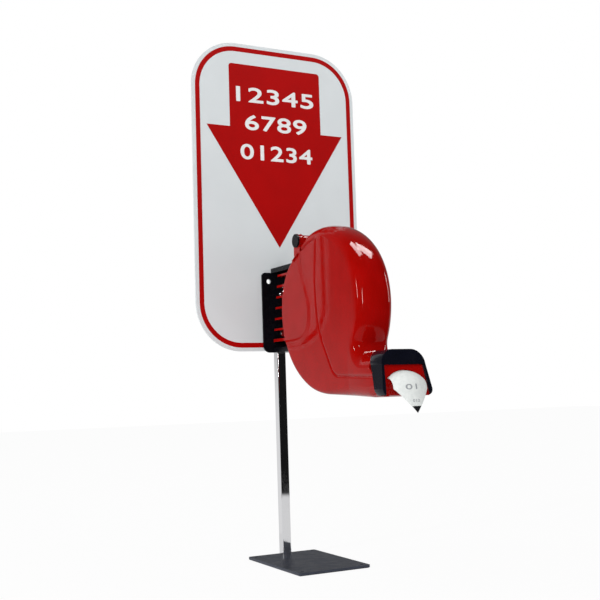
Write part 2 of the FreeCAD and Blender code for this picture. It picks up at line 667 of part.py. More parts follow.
def hinge_rod(radius, x0, x1):
    return cylinder(radius, V(x0, HINGE_Y, HINGE_Z), V(x1, HINGE_Y, HINGE_Z))


# ---- casing pieces -------------------------------------------------------
def build_front_cover():
    outer, inner = hollow_block(is_crown, CROWN_ROUND)
    wall = outer.cut(inner).common(behind_mouth(0))
    cover = wall.common(prism(cover_side_face(), 2 * HALF_WIDTH))
    inside_ears = KNUCKLE_HALF
    clear = [hinge_rod(EAR_R + PARTING_GAP, s * inside_ears, s * (HALF_WIDTH + 5)) for s in (1, -1)]
    knuckle = hinge_rod(KNUCKLE_R, -KNUCKLE_HALF, KNUCKLE_HALF)
    cover = cover.cut(clear).fuse(knuckle)
    bore = hinge_rod(PIN_R + PIN_CLEAR, -KNUCKLE_HALF, KNUCKLE_HALF)
    return biggest(cover.cut(bore))


def biggest(shape):
    """The main solid, without slivers left by the cuts."""
    solids = sorted(shape.Solids, key=lambda s: s.Volume)
    return solids[-1].removeSplitter()


def hinge_ears():
    """Two ears that carry the pin, joined down to the sides of the casing."""
    foot_dz = math.sqrt(PARTING_R ** 2 - HINGE_FOOT_DY ** 2)
    arm = polygon_face([at(HINGE_DY, HINGE_DZ), at(HINGE_FOOT_DY, foot_dz), at(HINGE_DY - 5.0, HINGE_DZ - 29.0),
                        at(HINGE_DY + EAR_R, HINGE_DZ - 20.0), at(HINGE_DY + EAR_R, HINGE_DZ)])
    arm = prism(arm, HALF_WIDTH).cut(prism(cover_side_face().makeOffset2D(PARTING_GAP), 2 * HALF_WIDTH))
    inner_side = KNUCKLE_HALF + EAR_GAP
    arm = arm.cut(box(-inner_side, inner_side, -FAR, FAR, 0, 2 * FAR))
    discs = [hinge_rod(EAR_R, s * inner_side, s * HALF_WIDTH) for s in (1, -1)]
    return [arm] + discs


def build_rear_shell():
    outer, inner = hollow_block(is_back, BACK_ROUND)
    wall = outer.cut(inner).common(behind_mouth(PARTING_GAP))
    expanded = cover_side_face().makeOffset2D(PARTING_GAP)
    shell = wall.cut(prism(expanded, 2 * HALF_WIDTH))
    knuckle_room = KNUCKLE_HALF + EAR_GAP
    shell = shell.cut(hinge_rod(KNUCKLE_R + PARTING_GAP, -knuckle_room, knuckle_room))
    shell = shell.fuse(hinge_ears())
    bores = [hinge_rod(PIN_R, -HALF_WIDTH, HALF_WIDTH), spindle_screw_bore()]
    return biggest(shell.cut(bores))


def build_mounting_rack():
    """A spine on the back of the casing with a ladder of level ribs."""
    outline = casing_face()
    spine = prism(outline.makeOffset2D(SPINE_THICK), SPINE_HALF)
    low = FIRST_FIN_Z - FIN_THICK * 2
    high = FIRST_FIN_Z + (FIN_COUNT - 1) * FIN_PITCH + FIN_THICK
    spine = spine.common(box(-FAR, FAR, DRUM_Y, FAR, low, high))
    fins = []
    for i in range(FIN_COUNT):
        thick = FIN_THICK if i else FIRST_FIN_THICK
        z = FIRST_FIN_Z + i * FIN_PITCH
        rear = BRACKET_FACE - FIN_GAP - i * FIN_LEAN
        fins.append(box(-ARM_HALF, ARM_HALF, DRUM_Y + HINGE_DY, rear, z - thick / 2, z + thick / 2))
    rack = spine.fuse(fins).cut(prism(outline, 2 * HALF_WIDTH))
    return biggest(rack.cut(rack_pin_bore(low - FIN_THICK, high + FIN_THICK)))


def build_hinge_pin():
    end = HALF_WIDTH + PIN_IN_CAP
    return hinge_rod(PIN_R, -end, end)


def build_hinge_caps():
    caps = []
    for s in (1, -1):
        disc = hinge_rod(HINGE_CAP_R, s * HALF_WIDTH, s * (HALF_WIDTH + HINGE_CAP_THICK))
        socket = hinge_rod(PIN_R, s * HALF_WIDTH, s * (HALF_WIDTH + PIN_IN_CAP))
        caps.append(disc.cut(socket))
    return Part.makeCompound(caps)


# ---- mouth ---------------------------------------------------------------
def bezel_side(front_inset, back_line, low=-120.0):
    """Side view between a back line and the rim, set back from the rim."""
    high = -55.0
    rim = [at(mouth_line(MOUTH_FRONT, dz) + front_inset, dz) for dz in (low, high)]
    rear = [at(back_line(dz), dz) for dz in (high, low)]
    return prism(polygon_face(rim + rear), 2 * HALF_WIDTH)


def front_view(edges):
    """A shape drawn looking at the mouth, drawn out through it."""
    y0 = DRUM_Y + MOUTH_FRONT[1][0] - 2 * BEND_R
    moved = face_of(edges).translated(V(0, y0, 0))
    return moved.extrude(V(0, 4 * BEND_R, 0))


def polyline(points):
    closed = list(points) + [points[0]]
    return [line(V(a[0], 0, a[1]), V(b[0], 0, b[1])) for a, b in zip(closed, closed[1:])]


def bezel_outer():
    """The arch of the bezel from the front, its sides leaning outwards."""
    shoulder = BEZEL_TOP - BEZEL_ROUND
    k = BEZEL_ROUND * (1 - math.sqrt(0.5))
    ankle = BEZEL_BOTTOM + BEZEL_FOOT_ROUND
    foot = BEZEL_BOTTOM_HALF - BEZEL_FOOT_ROUND
    bow = BEZEL_FOOT_ROUND * math.sqrt(0.5)
    edges = []
    for s in (1, -1):
        edges.append(line(V(s * BEZEL_BOTTOM_HALF, 0, ankle), V(s * BEZEL_TOP_HALF, 0, shoulder)))
        edges.append(arc(V(s * BEZEL_BOTTOM_HALF, 0, ankle), V(s * (foot + bow), 0, ankle - bow),
                         V(s * foot, 0, BEZEL_BOTTOM)))
        edges.append(arc(V(s * BEZEL_TOP_HALF, 0, shoulder), V(s * (BEZEL_TOP_HALF - k), 0, BEZEL_TOP - k),
                         V(s * (BEZEL_TOP_HALF - BEZEL_ROUND), 0, BEZEL_TOP)))
    flat = BEZEL_TOP_HALF - BEZEL_ROUND
    edges.append(line(V(-flat, 0, BEZEL_TOP), V(flat, 0, BEZEL_TOP)))
    edges.append(line(V(-foot, 0, BEZEL_BOTTOM), V(foot, 0, BEZEL_BOTTOM)))
    return front_view(edges)


def opening_points(low):
    """Corners of the opening inside the bezel, down to a height."""
    spread = (OPENING_BOTTOM_HALF - OPENING_TOP_HALF) / (OPENING_TOP - BEZEL_BOTTOM)
    half = OPENING_TOP_HALF + spread * (OPENING_TOP - low)
    return [(-half, low), (half, low), (OPENING_TOP_HALF, OPENING_TOP), (-OPENING_TOP_HALF, OPENING_TOP)]


def pocket():
    points = [(-POCKET_HALF, OPENING_TOP), (POCKET_HALF, OPENING_TOP),
              (POCKET_HALF, POCKET_TOP), (-POCKET_HALF, POCKET_TOP)]
    return front_view(polyline(points))


def build_mouth_bezel():
    """An upside-down U round the mouth, hollow behind its top band."""
    back = lambda dz: mouth_line(MOUTH_BACK, dz)
    side = bezel_side(0, back, BEZEL_BOTTOM - DRUM_Z)
    toes = [e for e in side.Edges if abs(e.BoundBox.ZMax - BEZEL_BOTTOM) < 1e-6 and e.BoundBox.XLength > HALF_WIDTH]
    body = bezel_outer().common(side.makeFillet(BEZEL_TOE_ROUND, toes))
    hollow = pocket().common(bezel_side(BEZEL_SKIN, lambda dz: back(dz) + 5.0))
    return biggest(body.cut([front_view(polyline(opening_points(BEZEL_BOTTOM - 5.0))), hollow]))


def arch_passage(radius, half):
    """The space under an arch on the paper's path, open below."""
    disc = Part.makeCylinder(radius, 2 * FAR, V(0, -FAR, -ARCH_R), V(0, 1, 0))
    below = box(-half, half, -FAR, FAR, -ARCH_R - FAR, -ARCH_R)
    upper = disc.common(box(-half, half, -FAR, FAR, -ARCH_R, FAR))
    return on_paper(upper.fuse(below))


def build_upper_jaw():
    """The plate that fills the bezel and whose arched edge tears the tickets."""
    depth = BEZEL_SKIN + JAW_THICK
    slab = bezel_side(BEZEL_SKIN, lambda dz: mouth_line(MOUTH_FRONT, dz) + depth)
    plate = front_view(polyline(opening_points(BEZEL_BOTTOM + 1.0))).fuse(pocket())
    return biggest(plate.common(slab).cut(arch_passage(PAPER_R_OUT + PAPER_GAP, JAW_OPENING_HALF)))


def build_lower_jaw():
    """The saddle that the paper slides over, standing on the casing's floor."""
    top_r = PAPER_R_IN - PAPER_GAP
    under = arch_passage(top_r - TONGUE_THICK, TONGUE_HALF - TONGUE_THICK)
    behind_lip = on_paper(box(-FAR, FAR, TONGUE_THICK - TONGUE_FRONT, FAR, -FAR, FAR))
    saddle = arch_passage(top_r, TONGUE_HALF).cut(under.common(behind_lip))
    reach = box(-FAR, FAR, -TONGUE_FRONT, TONGUE_REAR, -FAR, FAR)
    front_dy = EXIT_DY - TONGUE_FRONT * 2
    above_floor = [at(0, bottom_z(0) + WALL), at(front_dy, bottom_z(front_dy) + WALL), at(front_dy, 0), at(0, 0)]
    jaw = saddle.common(on_paper(reach)).common(prism(polygon_face(above_floor), HALF_WIDTH))
    return biggest(jaw.cut(build_rear_shell()))


# ---- paper ---------------------------------------------------------------
def paper_section(y, arched):
    """A thin closed strip across the paper, arched or flat, facing along +Y."""
    lift = PAPER_THICK / 2
    if arched:
        edge_out = math.sqrt(PAPER_R_OUT ** 2 - TICKET_HALF ** 2) - ARCH_R
        edge_in = math.sqrt(PAPER_R_IN ** 2 - TICKET_HALF ** 2) - ARCH_R
    else:
        edge_out, edge_in = lift, -lift
    corners = [V(-TICKET_HALF, y, edge_out), V(TICKET_HALF, y, edge_out),
               V(TICKET_HALF, y, edge_in), V(-TICKET_HALF, y, edge_in)]
    if arched:
        top = arc(corners[0], V(0, y, lift), corners[1])
        low = arc(corners[2], V(0, y, -lift), corners[3])
    else:
        top, low = line(corners[0], corners[1]), line(corners[2], corners[3])
    return Part.Wire([top, line(corners[1], corners[2]), low, line(corners[3], corners[0])])


def build_ticket_web():
    """The web of tickets from the roll to the mouth."""
    arched = Part.Face(paper_section(-WEB_AHEAD, True)).extrude(V(0, WEB_AHEAD + ARCH_KEPT, 0))
    easing = Part.makeLoft([paper_section(ARCH_KEPT, True), paper_section(WEB_LENGTH, False)], True, True)
    return biggest(on_paper(arched.fuse(easing)))


def build_hanging_ticket():
    """The next ticket, bent down over the lower jaw and pointed at its end."""
    start = Part.Face(paper_section(-WEB_AHEAD, True))
    bend = start.revolve(V(0, -WEB_AHEAD, -BEND_R), X_AXIS, BEND_ANGLE)
    end = start.copy()
    end.rotate(V(0, -WEB_AHEAD, -BEND_R), X_AXIS, BEND_ANGLE)
    turn = math.radians(BEND_ANGLE)
    straight = end.extrude(V(0, -math.cos(turn), -math.sin(turn)) * (2 * BEND_R + TICKET_HALF))
    sheet = on_paper(bend.fuse(straight))
    outline = [(-TICKET_HALF, BEZEL_TOP), (TICKET_HALF, BEZEL_TOP), (TICKET_HALF, TICKET_SHOULDER_Z),
               (0, TICKET_TIP_Z), (-TICKET_HALF, TICKET_SHOULDER_Z)]
    return biggest(sheet.common(front_view(polyline(outline))))


def roll_rod(radius, x0, x1):
    return cylinder(radius, V(x0, ROLL_Y, ROLL_Z), V(x1, ROLL_Y, ROLL_Z))


def build_ticket_roll():
    core_r = SPINDLE_R + CORE_GAP + CORE_WALL
    return roll_rod(ROLL_R, -TICKET_HALF, TICKET_HALF).cut(roll_rod(core_r, -TICKET_HALF, TICKET_HALF))


def build_roll_core():
    bore_r = SPINDLE_R + CORE_GAP
    return roll_rod(bore_r + CORE_WALL, -TICKET_HALF, TICKET_HALF).cut(roll_rod(bore_r, -TICKET_HALF, TICKET_HALF))


def build_roll_spindle():
    """A cup-shaped spindle, its closed end against the right-hand wall."""
    tip = INSIDE_HALF - SPINDLE_REACH
    web = INSIDE_HALF - SPINDLE_SCREW_LENGTH
    spindle = roll_rod(SPINDLE_R, tip, INSIDE_HALF).cut(roll_rod(SPINDLE_R - SPINDLE_WALL, tip, web))
    return spindle.cut(roll_rod(SPINDLE_SCREW_R, web, INSIDE_HALF))


def spindle_screw_bore():
    return roll_rod(SPINDLE_SCREW_R, INSIDE_HALF - 1, HALF_WIDTH + 1)


def build_spindle_screw():
    shank = roll_rod(SPINDLE_SCREW_R, INSIDE_HALF - SPINDLE_SCREW_LENGTH + 1, HALF_WIDTH)
    head = roll_rod(SPINDLE_SCREW_HEAD_R, HALF_WIDTH, HALF_WIDTH + SPINDLE_SCREW_HEAD)
    return shank.fuse(head).removeSplitter()


PIECES = {
    "base_pad": build_base_pad,
    "base_plate": build_base_plate,
    "foot_screw": build_foot_screw,
    "foot_plug": build_foot_plug,
    "pole": build_pole,
    "pole_cap": build_pole_cap,
    "sign_tape": build_sign_tape,
    "sign_panel": build_sign_panel,
    "sign_border": build_sign_border,
    "sign_arrow": build_sign_arrow,
    "wall_bracket": build_wall_bracket,
    "bracket_screws": build_bracket_screws,
    "bracket_washers": build_bracket_washers,
    "bracket_nuts": build_bracket_nuts,
    "rack_pin": build_rack_pin,
    "mounting_rack": build_mounting_rack,
    "rear_shell": build_rear_shell,
    "front_cover": build_front_cover,
    "hinge_pin": build_hinge_pin,
    "hinge_caps": build_hinge_caps,
    "mouth_bezel": build_mouth_bezel,
    "upper_jaw": build_upper_jaw,
    "lower_jaw": build_lower_jaw,
    "roll_spindle": build_roll_spindle,
    "spindle_screw": build_spindle_screw,
    "roll_core": build_roll_core,
    "ticket_roll": build_ticket_roll,
    "ticket_web": build_ticket_web,
    "hanging_ticket": build_hanging_ticket,
}


os.makedirs("parts", exist_ok=True)
for piece_name, build in PIECES.items():
    save(piece_name, build())
print("paper path tilt", round(PATH_TILT, 4), "web length", round(WEB_LENGTH, 3))
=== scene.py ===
"""Looks for a queue-ticket dispenser on a counter stand: a red snail-shaped casing with a
black mouth, held by a ribbed bracket to an upright arrow sign on a chrome pole.

Units are metres; sizes are written in millimetres and multiplied by MM.
"""
import math

import bpy
import numpy as np
from mathutils import Matrix, Vector


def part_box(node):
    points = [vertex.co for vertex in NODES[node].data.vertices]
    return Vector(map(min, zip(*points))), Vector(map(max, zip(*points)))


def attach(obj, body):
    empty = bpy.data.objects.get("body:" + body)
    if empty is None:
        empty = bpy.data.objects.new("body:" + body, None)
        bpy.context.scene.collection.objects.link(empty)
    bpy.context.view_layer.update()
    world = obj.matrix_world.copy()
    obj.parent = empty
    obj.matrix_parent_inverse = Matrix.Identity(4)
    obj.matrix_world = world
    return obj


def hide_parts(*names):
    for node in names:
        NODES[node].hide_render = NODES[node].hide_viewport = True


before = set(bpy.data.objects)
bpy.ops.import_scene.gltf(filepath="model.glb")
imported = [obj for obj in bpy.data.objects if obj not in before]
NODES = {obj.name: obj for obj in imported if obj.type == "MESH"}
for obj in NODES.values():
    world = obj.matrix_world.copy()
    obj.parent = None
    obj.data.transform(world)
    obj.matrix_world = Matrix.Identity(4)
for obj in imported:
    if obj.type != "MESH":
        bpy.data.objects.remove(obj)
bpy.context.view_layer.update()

MM = 0.001

# ---- camera --------------------------------------------------------------
CAMERA_AT = Vector((-611.99, -1184.47, 227.09)) * MM
CAMERA_AZIMUTH = -27.366
CAMERA_PITCH = 5.203
CAMERA_ROLL = -1.787
CAMERA_LENS = 59.60

# ---- sign ----------------------------------------------------------------
NUMERAL_ROWS = ("12345", "6789", "01234")
ROW_HEIGHTS = (144.0, 104.5, 62.3)     # middle of each row, above the sign's middle
ROW_WIDTHS = (122.0, 97.0, 113.0)
CAP_HEIGHT = 22.0
NUMERAL_WEIGHT = 1.3                   # added to the strokes' width
STROKE_SHIFTS = ((0, 0), (-1, 0), (1, 0), (0, -1), (0, 1), (-0.7, -0.7), (0.7, 0.7), (-0.7, 0.7), (0.7, -0.7))

# ---- casing, in millimetres from the drum axis: u to the rear, w up --------
CROWN_R = 104.5
CROWN_SINK = 1.7                       # the crown's circle is a little flat about its top
CROWN_TOP = 92.0                       # degrees about the drum axis, from the rear
CROWN_SINK_TURN = (18.0, 70.0)         # the sink fades out between these, to either side of the top
CROWN_KEY_TURN = 150.0
BACK_R = 100.5
SHOULDER_R = 68.0
SHOULDER_TURN = (15.0, 67.0)           # degrees about the drum axis, from the rear
BELLY_TURN = -50.0
FLOOR_W = -108.2
FLOOR_SLOPE = 2.54
NECK_R = 12.0
SNOUT_TOP_W = -64.5
PARTING_R = 86.0
PARTING_END_U = -1.7                   # where the parting line leaves its circle
PARTING_GAP = 0.5
SEAM_SIDE = ((3.9, 32.0), (4.6, -13.0), (-8.2, -40.0))          # start, pull and end of a curve
SEAM_CORNER = ((-31.0, -76.6), (-36.4, -85.0), (-45.0, -86.6))
SEAM_MOUTH_W = -89.6
HINGE_U = 49.0
HINGE_FOOT_U = 38.0
MOUTH_TOP = (-122.6, -60.0)            # back edge of the bezel
MOUTH_LOW = (-147.2, -118.0)
HALF_WIDTH = 25.5
WALL = 2.4
SNOUT_SPREAD = (2.7, 6.5)              # wider than the casing, above and below
SNOUT_ROOT_U = -72.0
SPREAD_FROM = 38.0                     # below the drum axis
CROWN_ROUND = 15.0
ROUND_MARGIN = 1.5                     # the least width of side left beside a rounded edge
CROWN_POWER = 2.3                      # between an ellipse and a flat top with round edges
BACK_ROUND = 4.0
FLOOR_ROUND = 12.0
ROUND_SHARES = (0.56, 0.8)             # where along the outline the back's rounding turns to the floor's
FLOOR_LIFT = (3.0, 5.5)                # the floor rises at the mouth, at its edges and its middle
LIFT_ACROSS = (19.0, 25.0)             # from its middle to its edges
LIFT_AHEAD = (118.0, 143.0)            # ahead of the drum axis
LIFT_BELOW = (92.0, 108.0)             # below the drum axis
LIP_DROP = 1.4                         # the edges roll in at the parting line
LIP_SOFT = 3.4
LIP_STEPS = (0.0, 0.25, 0.6, 1.0, 1.5, 2.1, 2.9, 4.0)           # rows of points beside the seam
STEP_RISE = 0.8                        # soft raised panel on the casing's sides
STEP_SOFT = 3.0
STEP_LOW = -40.0
STEP_FRONT = 22.0
STEP_LEAN = 0.43
STEP_LEAN_FROM = 5.0
STEP_BLEND = 38.0
SHELL_RIM = 0.35
SHELL_RIM_ANGLE = 60.0
SEAM_KEYS = ((3.6, 2.0), (-20.0, -58.8), (-52.0, -86.9), (-104.0, -88.6))
KEY_SHARES = (0.28, 0.52, 0.7, 0.88)   # where the crown and the seam pass their key points
KNUCKLE_R = 7.6
KNUCKLE_HALF = 19.6
KNUCKLE_SINK = 2.0                     # the crown's end is buried this far in the knuckle
KNUCKLE_EASE = 0.5
EAR_R = 8.4
EAR_TURN = (-10.0, 215.0)
EAR_INNER = 20.05
EAR_RIM = 0.7
EAR_RIM_ANGLE = 50.0
EAR_FOOT_INNER = (42.0, 60.0)
EAR_FOOT_OUTER = (57.4, 70.0)
PIN_BORE_R = 2.56
BEZEL_ROUND = 0.9
BEZEL_ROUND_ANGLE = 35.0

# ---- ticket --------------------------------------------------------------
EXIT_PLACE = (-151.0, -84.0)           # from the drum axis, where the paper comes out
PATH_TILT = 6.9229
WEB_AHEAD = 4.0
ARCH_R = 34.0
BEND_R = 20.0
BEND_ANGLE = 73.577
PAPER_LIFT = 0.15                      # from the paper's middle to its face
INK_FILM = 0.03
TIP_HALF = 5.8                         # the black pointed end
TIP_LENGTH = 7.8
TIP_CUT = 0.97                         # the point stops just short, so that no face shrinks to nothing

# ---- studio --------------------------------------------------------------
ROOM_LEFT = 1.06                       # light from the two sides
ROOM_RIGHT = 0.48
ROOM_DARK = 0.008                      # the room as shiny surfaces mirror it, in front and behind
ROOM_WALL = 0.22
WALL_HORIZON = (-0.02, 0.12)           # heights of a direction where the floor's level turns to the wall's
WALL_BEHIND = (-0.05, 0.45)            # depths of a direction where the dark room turns to the wall
FLOOR_SIZE = 6.0
FLOOR_WHITE = 0.9                      # share of plain white in the floor as the camera sees it
FLOOR_NEAR = 0.75                      # the floor as shiny surfaces mirror it, behind and in front
FLOOR_FRONT = 0.7
FLOOR_REACH = 0.72                     # metres from the stand to where the lit floor ends in front
FLOOR_FADE = 1.15
FLOOR_BEHIND = (0.05, 0.3)             # metres behind the stand where the floor's rear level comes in
LAMPS = (                              # name, place, aim, width, height, watts, only seen mirrored
    ("side_softbox", (-4.6, -1.4, 1.6), (0, 0, 0.4), 0.35, 1.3, 68.0, False),
    ("front_softbox", (-2.5, -3.9, 1.0), (0, 0, 0.4), 0.3, 1.4, 46.0, False),
    ("window_pane_left", (0.15, -0.6, 2.87), (0, -0.18, 0.39), 0.7, 1.15, 66.0, True),
    ("window_pane_right", (1.02, -0.53, 2.68), (0, -0.18, 0.39), 0.7, 1.15, 66.0, True),
    ("window_strip", (2.6, -0.35, 1.0), (0, -0.18, 0.35), 0.25, 1.0, 8.0, True),
)


# ---- colours -------------------------------------------------------------
def srgb(code):
    """A hex sRGB colour such as "A0B0C0" as linear red, green, blue and alpha."""
    values = [int(code[i:i + 2], 16) / 255 for i in (0, 2, 4)]
    return [v / 12.92 if v <= 0.04045 else ((v + 0.055) / 1.055) ** 2.4 for v in values] + [1.0]


# ---- node helper ---------------------------------------------------------
def add(tree, kind, inputs=None, **settings):
    """Adds one shader node, sets its properties, and sets or links its inputs."""
    node = tree.nodes.new("ShaderNode" + kind)
    for name, value in settings.items():
        setattr(node, name, value)
    for name, value in (inputs or {}).items():
        socket = node.inputs[name]
        if isinstance(value, bpy.types.NodeSocket):
            tree.links.new(value, socket)
        else:
            socket.default_value = value
    return node


def new_material(name):
    """An empty material, its node tree, and its object coordinates in millimetres."""
    material = bpy.data.materials.new(name)
    material.use_nodes = True
    tree = material.node_tree
    tree.nodes.clear()
    coordinates = add(tree, "TexCoord").outputs["Object"]
    millimetres = add(tree, "VectorMath", {0: coordinates, 1: (1 / MM,) * 3}, operation="MULTIPLY")
    return material, tree, millimetres.outputs["Vector"]


# ---- materials -----------------------------------------------------------
def moulded_abs(name, colour, shade, rough, rough_worn, flow_height, grain_height, grain_mm, gloss):
    """ABS shot into a polished or etched mould.

    The gloss is broken by waves about 22 mm long left by the flow of the
    plastic, by a grain of about 1 mm, drawn coarser than it is so that it
    shows, and by rub marks about 9 mm long that change the roughness.
    """
    material, tree, mm = new_material(name)
    flow = add(tree, "TexNoise", {"Vector": mm, "Scale": 1 / 22.0, "Detail": 2.0, "Roughness": 0.4})
    rubs = add(tree, "TexNoise", {"Vector": mm, "Scale": 1 / 9.0, "Detail": 5.0, "Roughness": 0.62})
    grain = add(tree, "TexNoise", {"Vector": mm, "Scale": 1 / grain_mm, "Detail": 2.0, "Roughness": 0.5})
    worn = add(tree, "MapRange", {"Value": rubs.outputs["Fac"], "From Min": 0.42, "From Max": 0.72,
                                  "To Min": rough, "To Max": rough_worn},
               interpolation_type="SMOOTHSTEP").outputs["Result"]
    tint = add(tree, "MapRange", {"Value": flow.outputs["Fac"], "From Min": 0.3, "From Max": 0.7,
                                  "To Min": 0.0, "To Max": 1.0},
               interpolation_type="SMOOTHSTEP").outputs["Result"]
    colour_mix = add(tree, "Mix", {"Factor": tint, "A": srgb(colour), "B": srgb(shade)}, data_type="RGBA")
    waves = add(tree, "Bump", {"Height": flow.outputs["Fac"], "Distance": flow_height * MM, "Strength": 1.0})
    fine = add(tree, "Bump", {"Height": grain.outputs["Fac"], "Distance": grain_height * MM, "Strength": 1.0,
                              "Normal": waves.outputs["Normal"]})
    shader = add(tree, "BsdfPrincipled", {"Base Color": colour_mix.outputs["Result"], "Roughness": worn,
                                          "IOR": 1.4, "Specular IOR Level": gloss,
                                          "Normal": fine.outputs["Normal"]})
    add(tree, "OutputMaterial", {"Surface": shader.outputs["BSDF"]})
    return material


def powder_coat(name, colour, dusty):
    """Baked black powder on steel: orange peel of about 1 mm spreads the gloss, and dust dulls it."""
    material, tree, mm = new_material(name)
    peel = add(tree, "TexNoise", {"Vector": mm, "Scale": 1 / 1.1, "Detail": 3.0, "Roughness": 0.55})
    dust = add(tree, "TexNoise", {"Vector": mm, "Scale": 1 / 14.0, "Detail": 4.0, "Roughness": 0.6})
    rough = add(tree, "MapRange", {"Value": dust.outputs["Fac"], "From Min": 0.35, "From Max": 0.7,
                                   "To Min": 0.36, "To Max": 0.5},
                interpolation_type="SMOOTHSTEP").outputs["Result"]
    shade = add(tree, "MapRange", {"Value": dust.outputs["Fac"], "From Min": 0.4, "From Max": 0.75,
                                   "To Min": 0.0, "To Max": 1.0},
                interpolation_type="SMOOTHSTEP").outputs["Result"]
    colour_mix = add(tree, "Mix", {"Factor": shade, "A": srgb(colour), "B": srgb(dusty)}, data_type="RGBA")
    bump = add(tree, "Bump", {"Height": peel.outputs["Fac"], "Distance": 0.02 * MM, "Strength": 0.5})
    shader = add(tree, "BsdfPrincipled", {"Base Color": colour_mix.outputs["Result"], "Roughness": rough,
                                          "IOR": 1.5, "Normal": bump.outputs["Normal"]})
    add(tree, "OutputMaterial", {"Surface": shader.outputs["BSDF"]})
    return material


def polished_chrome(name):
    """Bright chrome plate on drawn steel tube: a mirror with faint lines along its length.

    The lines are 0.9 mm apart, coarser than real ones, so that they show;
    finger haze about 18 mm across makes the mirror a little duller in places.
    """
    material, tree, mm = new_material(name)
    drawn = add(tree, "Mapping", {"Vector": mm, "Scale": (1.0, 1.0, 0.02)})
    lines = add(tree, "TexNoise", {"Vector": drawn.outputs["Vector"], "Scale": 1 / 0.9, "Detail": 3.0})
    haze = add(tree, "TexNoise", {"Vector": mm, "Scale": 1 / 18.0, "Detail": 4.0, "Roughness": 0.6})
    rough = add(tree, "MapRange", {"Value": haze.outputs["Fac"], "From Min": 0.35, "From Max": 0.75,
                                   "To Min": 0.03, "To Max": 0.09},
                interpolation_type="SMOOTHSTEP").outputs["Result"]
    bump = add(tree, "Bump", {"Height": lines.outputs["Fac"], "Distance": 0.004 * MM, "Strength": 0.6})
    shader = add(tree, "BsdfPrincipled", {"Base Color": srgb("F0F0F2"), "Metallic": 1.0, "Roughness": rough,
                                          "Normal": bump.outputs["Normal"]})
    add(tree, "OutputMaterial", {"Surface": shader.outputs["BSDF"]})
    return material


def zinc_plate(name):
    """Zinc plate on steel fasteners: pale and softly bright, with clouds about 2.5 mm across."""
    material, tree, mm = new_material(name)
    cloud = add(tree, "TexNoise", {"Vector": mm, "Scale": 1 / 2.5, "Detail": 4.0, "Roughness": 0.6})
    rough = add(tree, "MapRange", {"Value": cloud.outputs["Fac"], "From Min": 0.3, "From Max": 0.7,
                                   "To Min": 0.22, "To Max": 0.42},
                interpolation_type="SMOOTHSTEP").outputs["Result"]
    shader = add(tree, "BsdfPrincipled", {"Base Color": srgb("B9BCC0"), "Metallic": 1.0, "Roughness": rough})
    add(tree, "OutputMaterial", {"Surface": shader.outputs["BSDF"]})
    return material


def styrene_sheet(name):
    """Rolled and cut polystyrene sheet: even off-white with a low sheen, in waves about 60 mm long."""
    material, tree, mm = new_material(name)
    wave = add(tree, "TexNoise", {"Vector": mm, "Scale": 1 / 60.0, "Detail": 2.0, "Roughness": 0.4})
    haze = add(tree, "TexNoise", {"Vector": mm, "Scale": 1 / 7.0, "Detail": 5.0, "Roughness": 0.6})
    rough = add(tree, "MapRange", {"Value": haze.outputs["Fac"], "From Min": 0.35, "From Max": 0.7,
                                   "To Min": 0.3, "To Max": 0.42},
                interpolation_type="SMOOTHSTEP").outputs["Result"]
    tint = add(tree, "MapRange", {"Value": wave.outputs["Fac"], "From Min": 0.3, "From Max": 0.7,
                                  "To Min": 0.0, "To Max": 1.0},
               interpolation_type="SMOOTHSTEP").outputs["Result"]
    colour = add(tree, "Mix", {"Factor": tint, "A": srgb("D3D8DA"), "B": srgb("D0D5D7")}, data_type="RGBA")
    bump = add(tree, "Bump", {"Height": wave.outputs["Fac"], "Distance": 0.12 * MM, "Strength": 1.0})
    shader = add(tree, "BsdfPrincipled", {"Base Color": colour.outputs["Result"], "Roughness": rough,
                                          "IOR": 1.55, "Normal": bump.outputs["Normal"]})
    add(tree, "OutputMaterial", {"Surface": shader.outputs["BSDF"]})
    return material


def screen_print(name, colour, deep):
    """Screen-printed ink film: flat and even, with the weave of the mesh just felt in its gloss.

    The weave's specks are drawn 0.8 mm apart, coarser than they are, so that they show.
    """
    material, tree, mm = new_material(name)
    cloud = add(tree, "TexNoise", {"Vector": mm, "Scale": 1 / 40.0, "Detail": 3.0, "Roughness": 0.5})
    specks = add(tree, "TexNoise", {"Vector": mm, "Scale": 1 / 0.8, "Detail": 1.0})
    tint = add(tree, "MapRange", {"Value": cloud.outputs["Fac"], "From Min": 0.3, "From Max": 0.7,
                                  "To Min": 0.0, "To Max": 1.0},
               interpolation_type="SMOOTHSTEP").outputs["Result"]
    colour_mix = add(tree, "Mix", {"Factor": tint, "A": srgb(colour), "B": srgb(deep)}, data_type="RGBA")
    bump = add(tree, "Bump", {"Height": specks.outputs["Fac"], "Distance": 0.01 * MM, "Strength": 0.6})
    shader = add(tree, "BsdfPrincipled", {"Base Color": colour_mix.outputs["Result"], "Roughness": 0.5,
                                          "IOR": 1.3, "Specular IOR Level": 0.12,
                                          "Normal": bump.outputs["Normal"]})
    add(tree, "OutputMaterial", {"Surface": shader.outputs["BSDF"]})
    return material


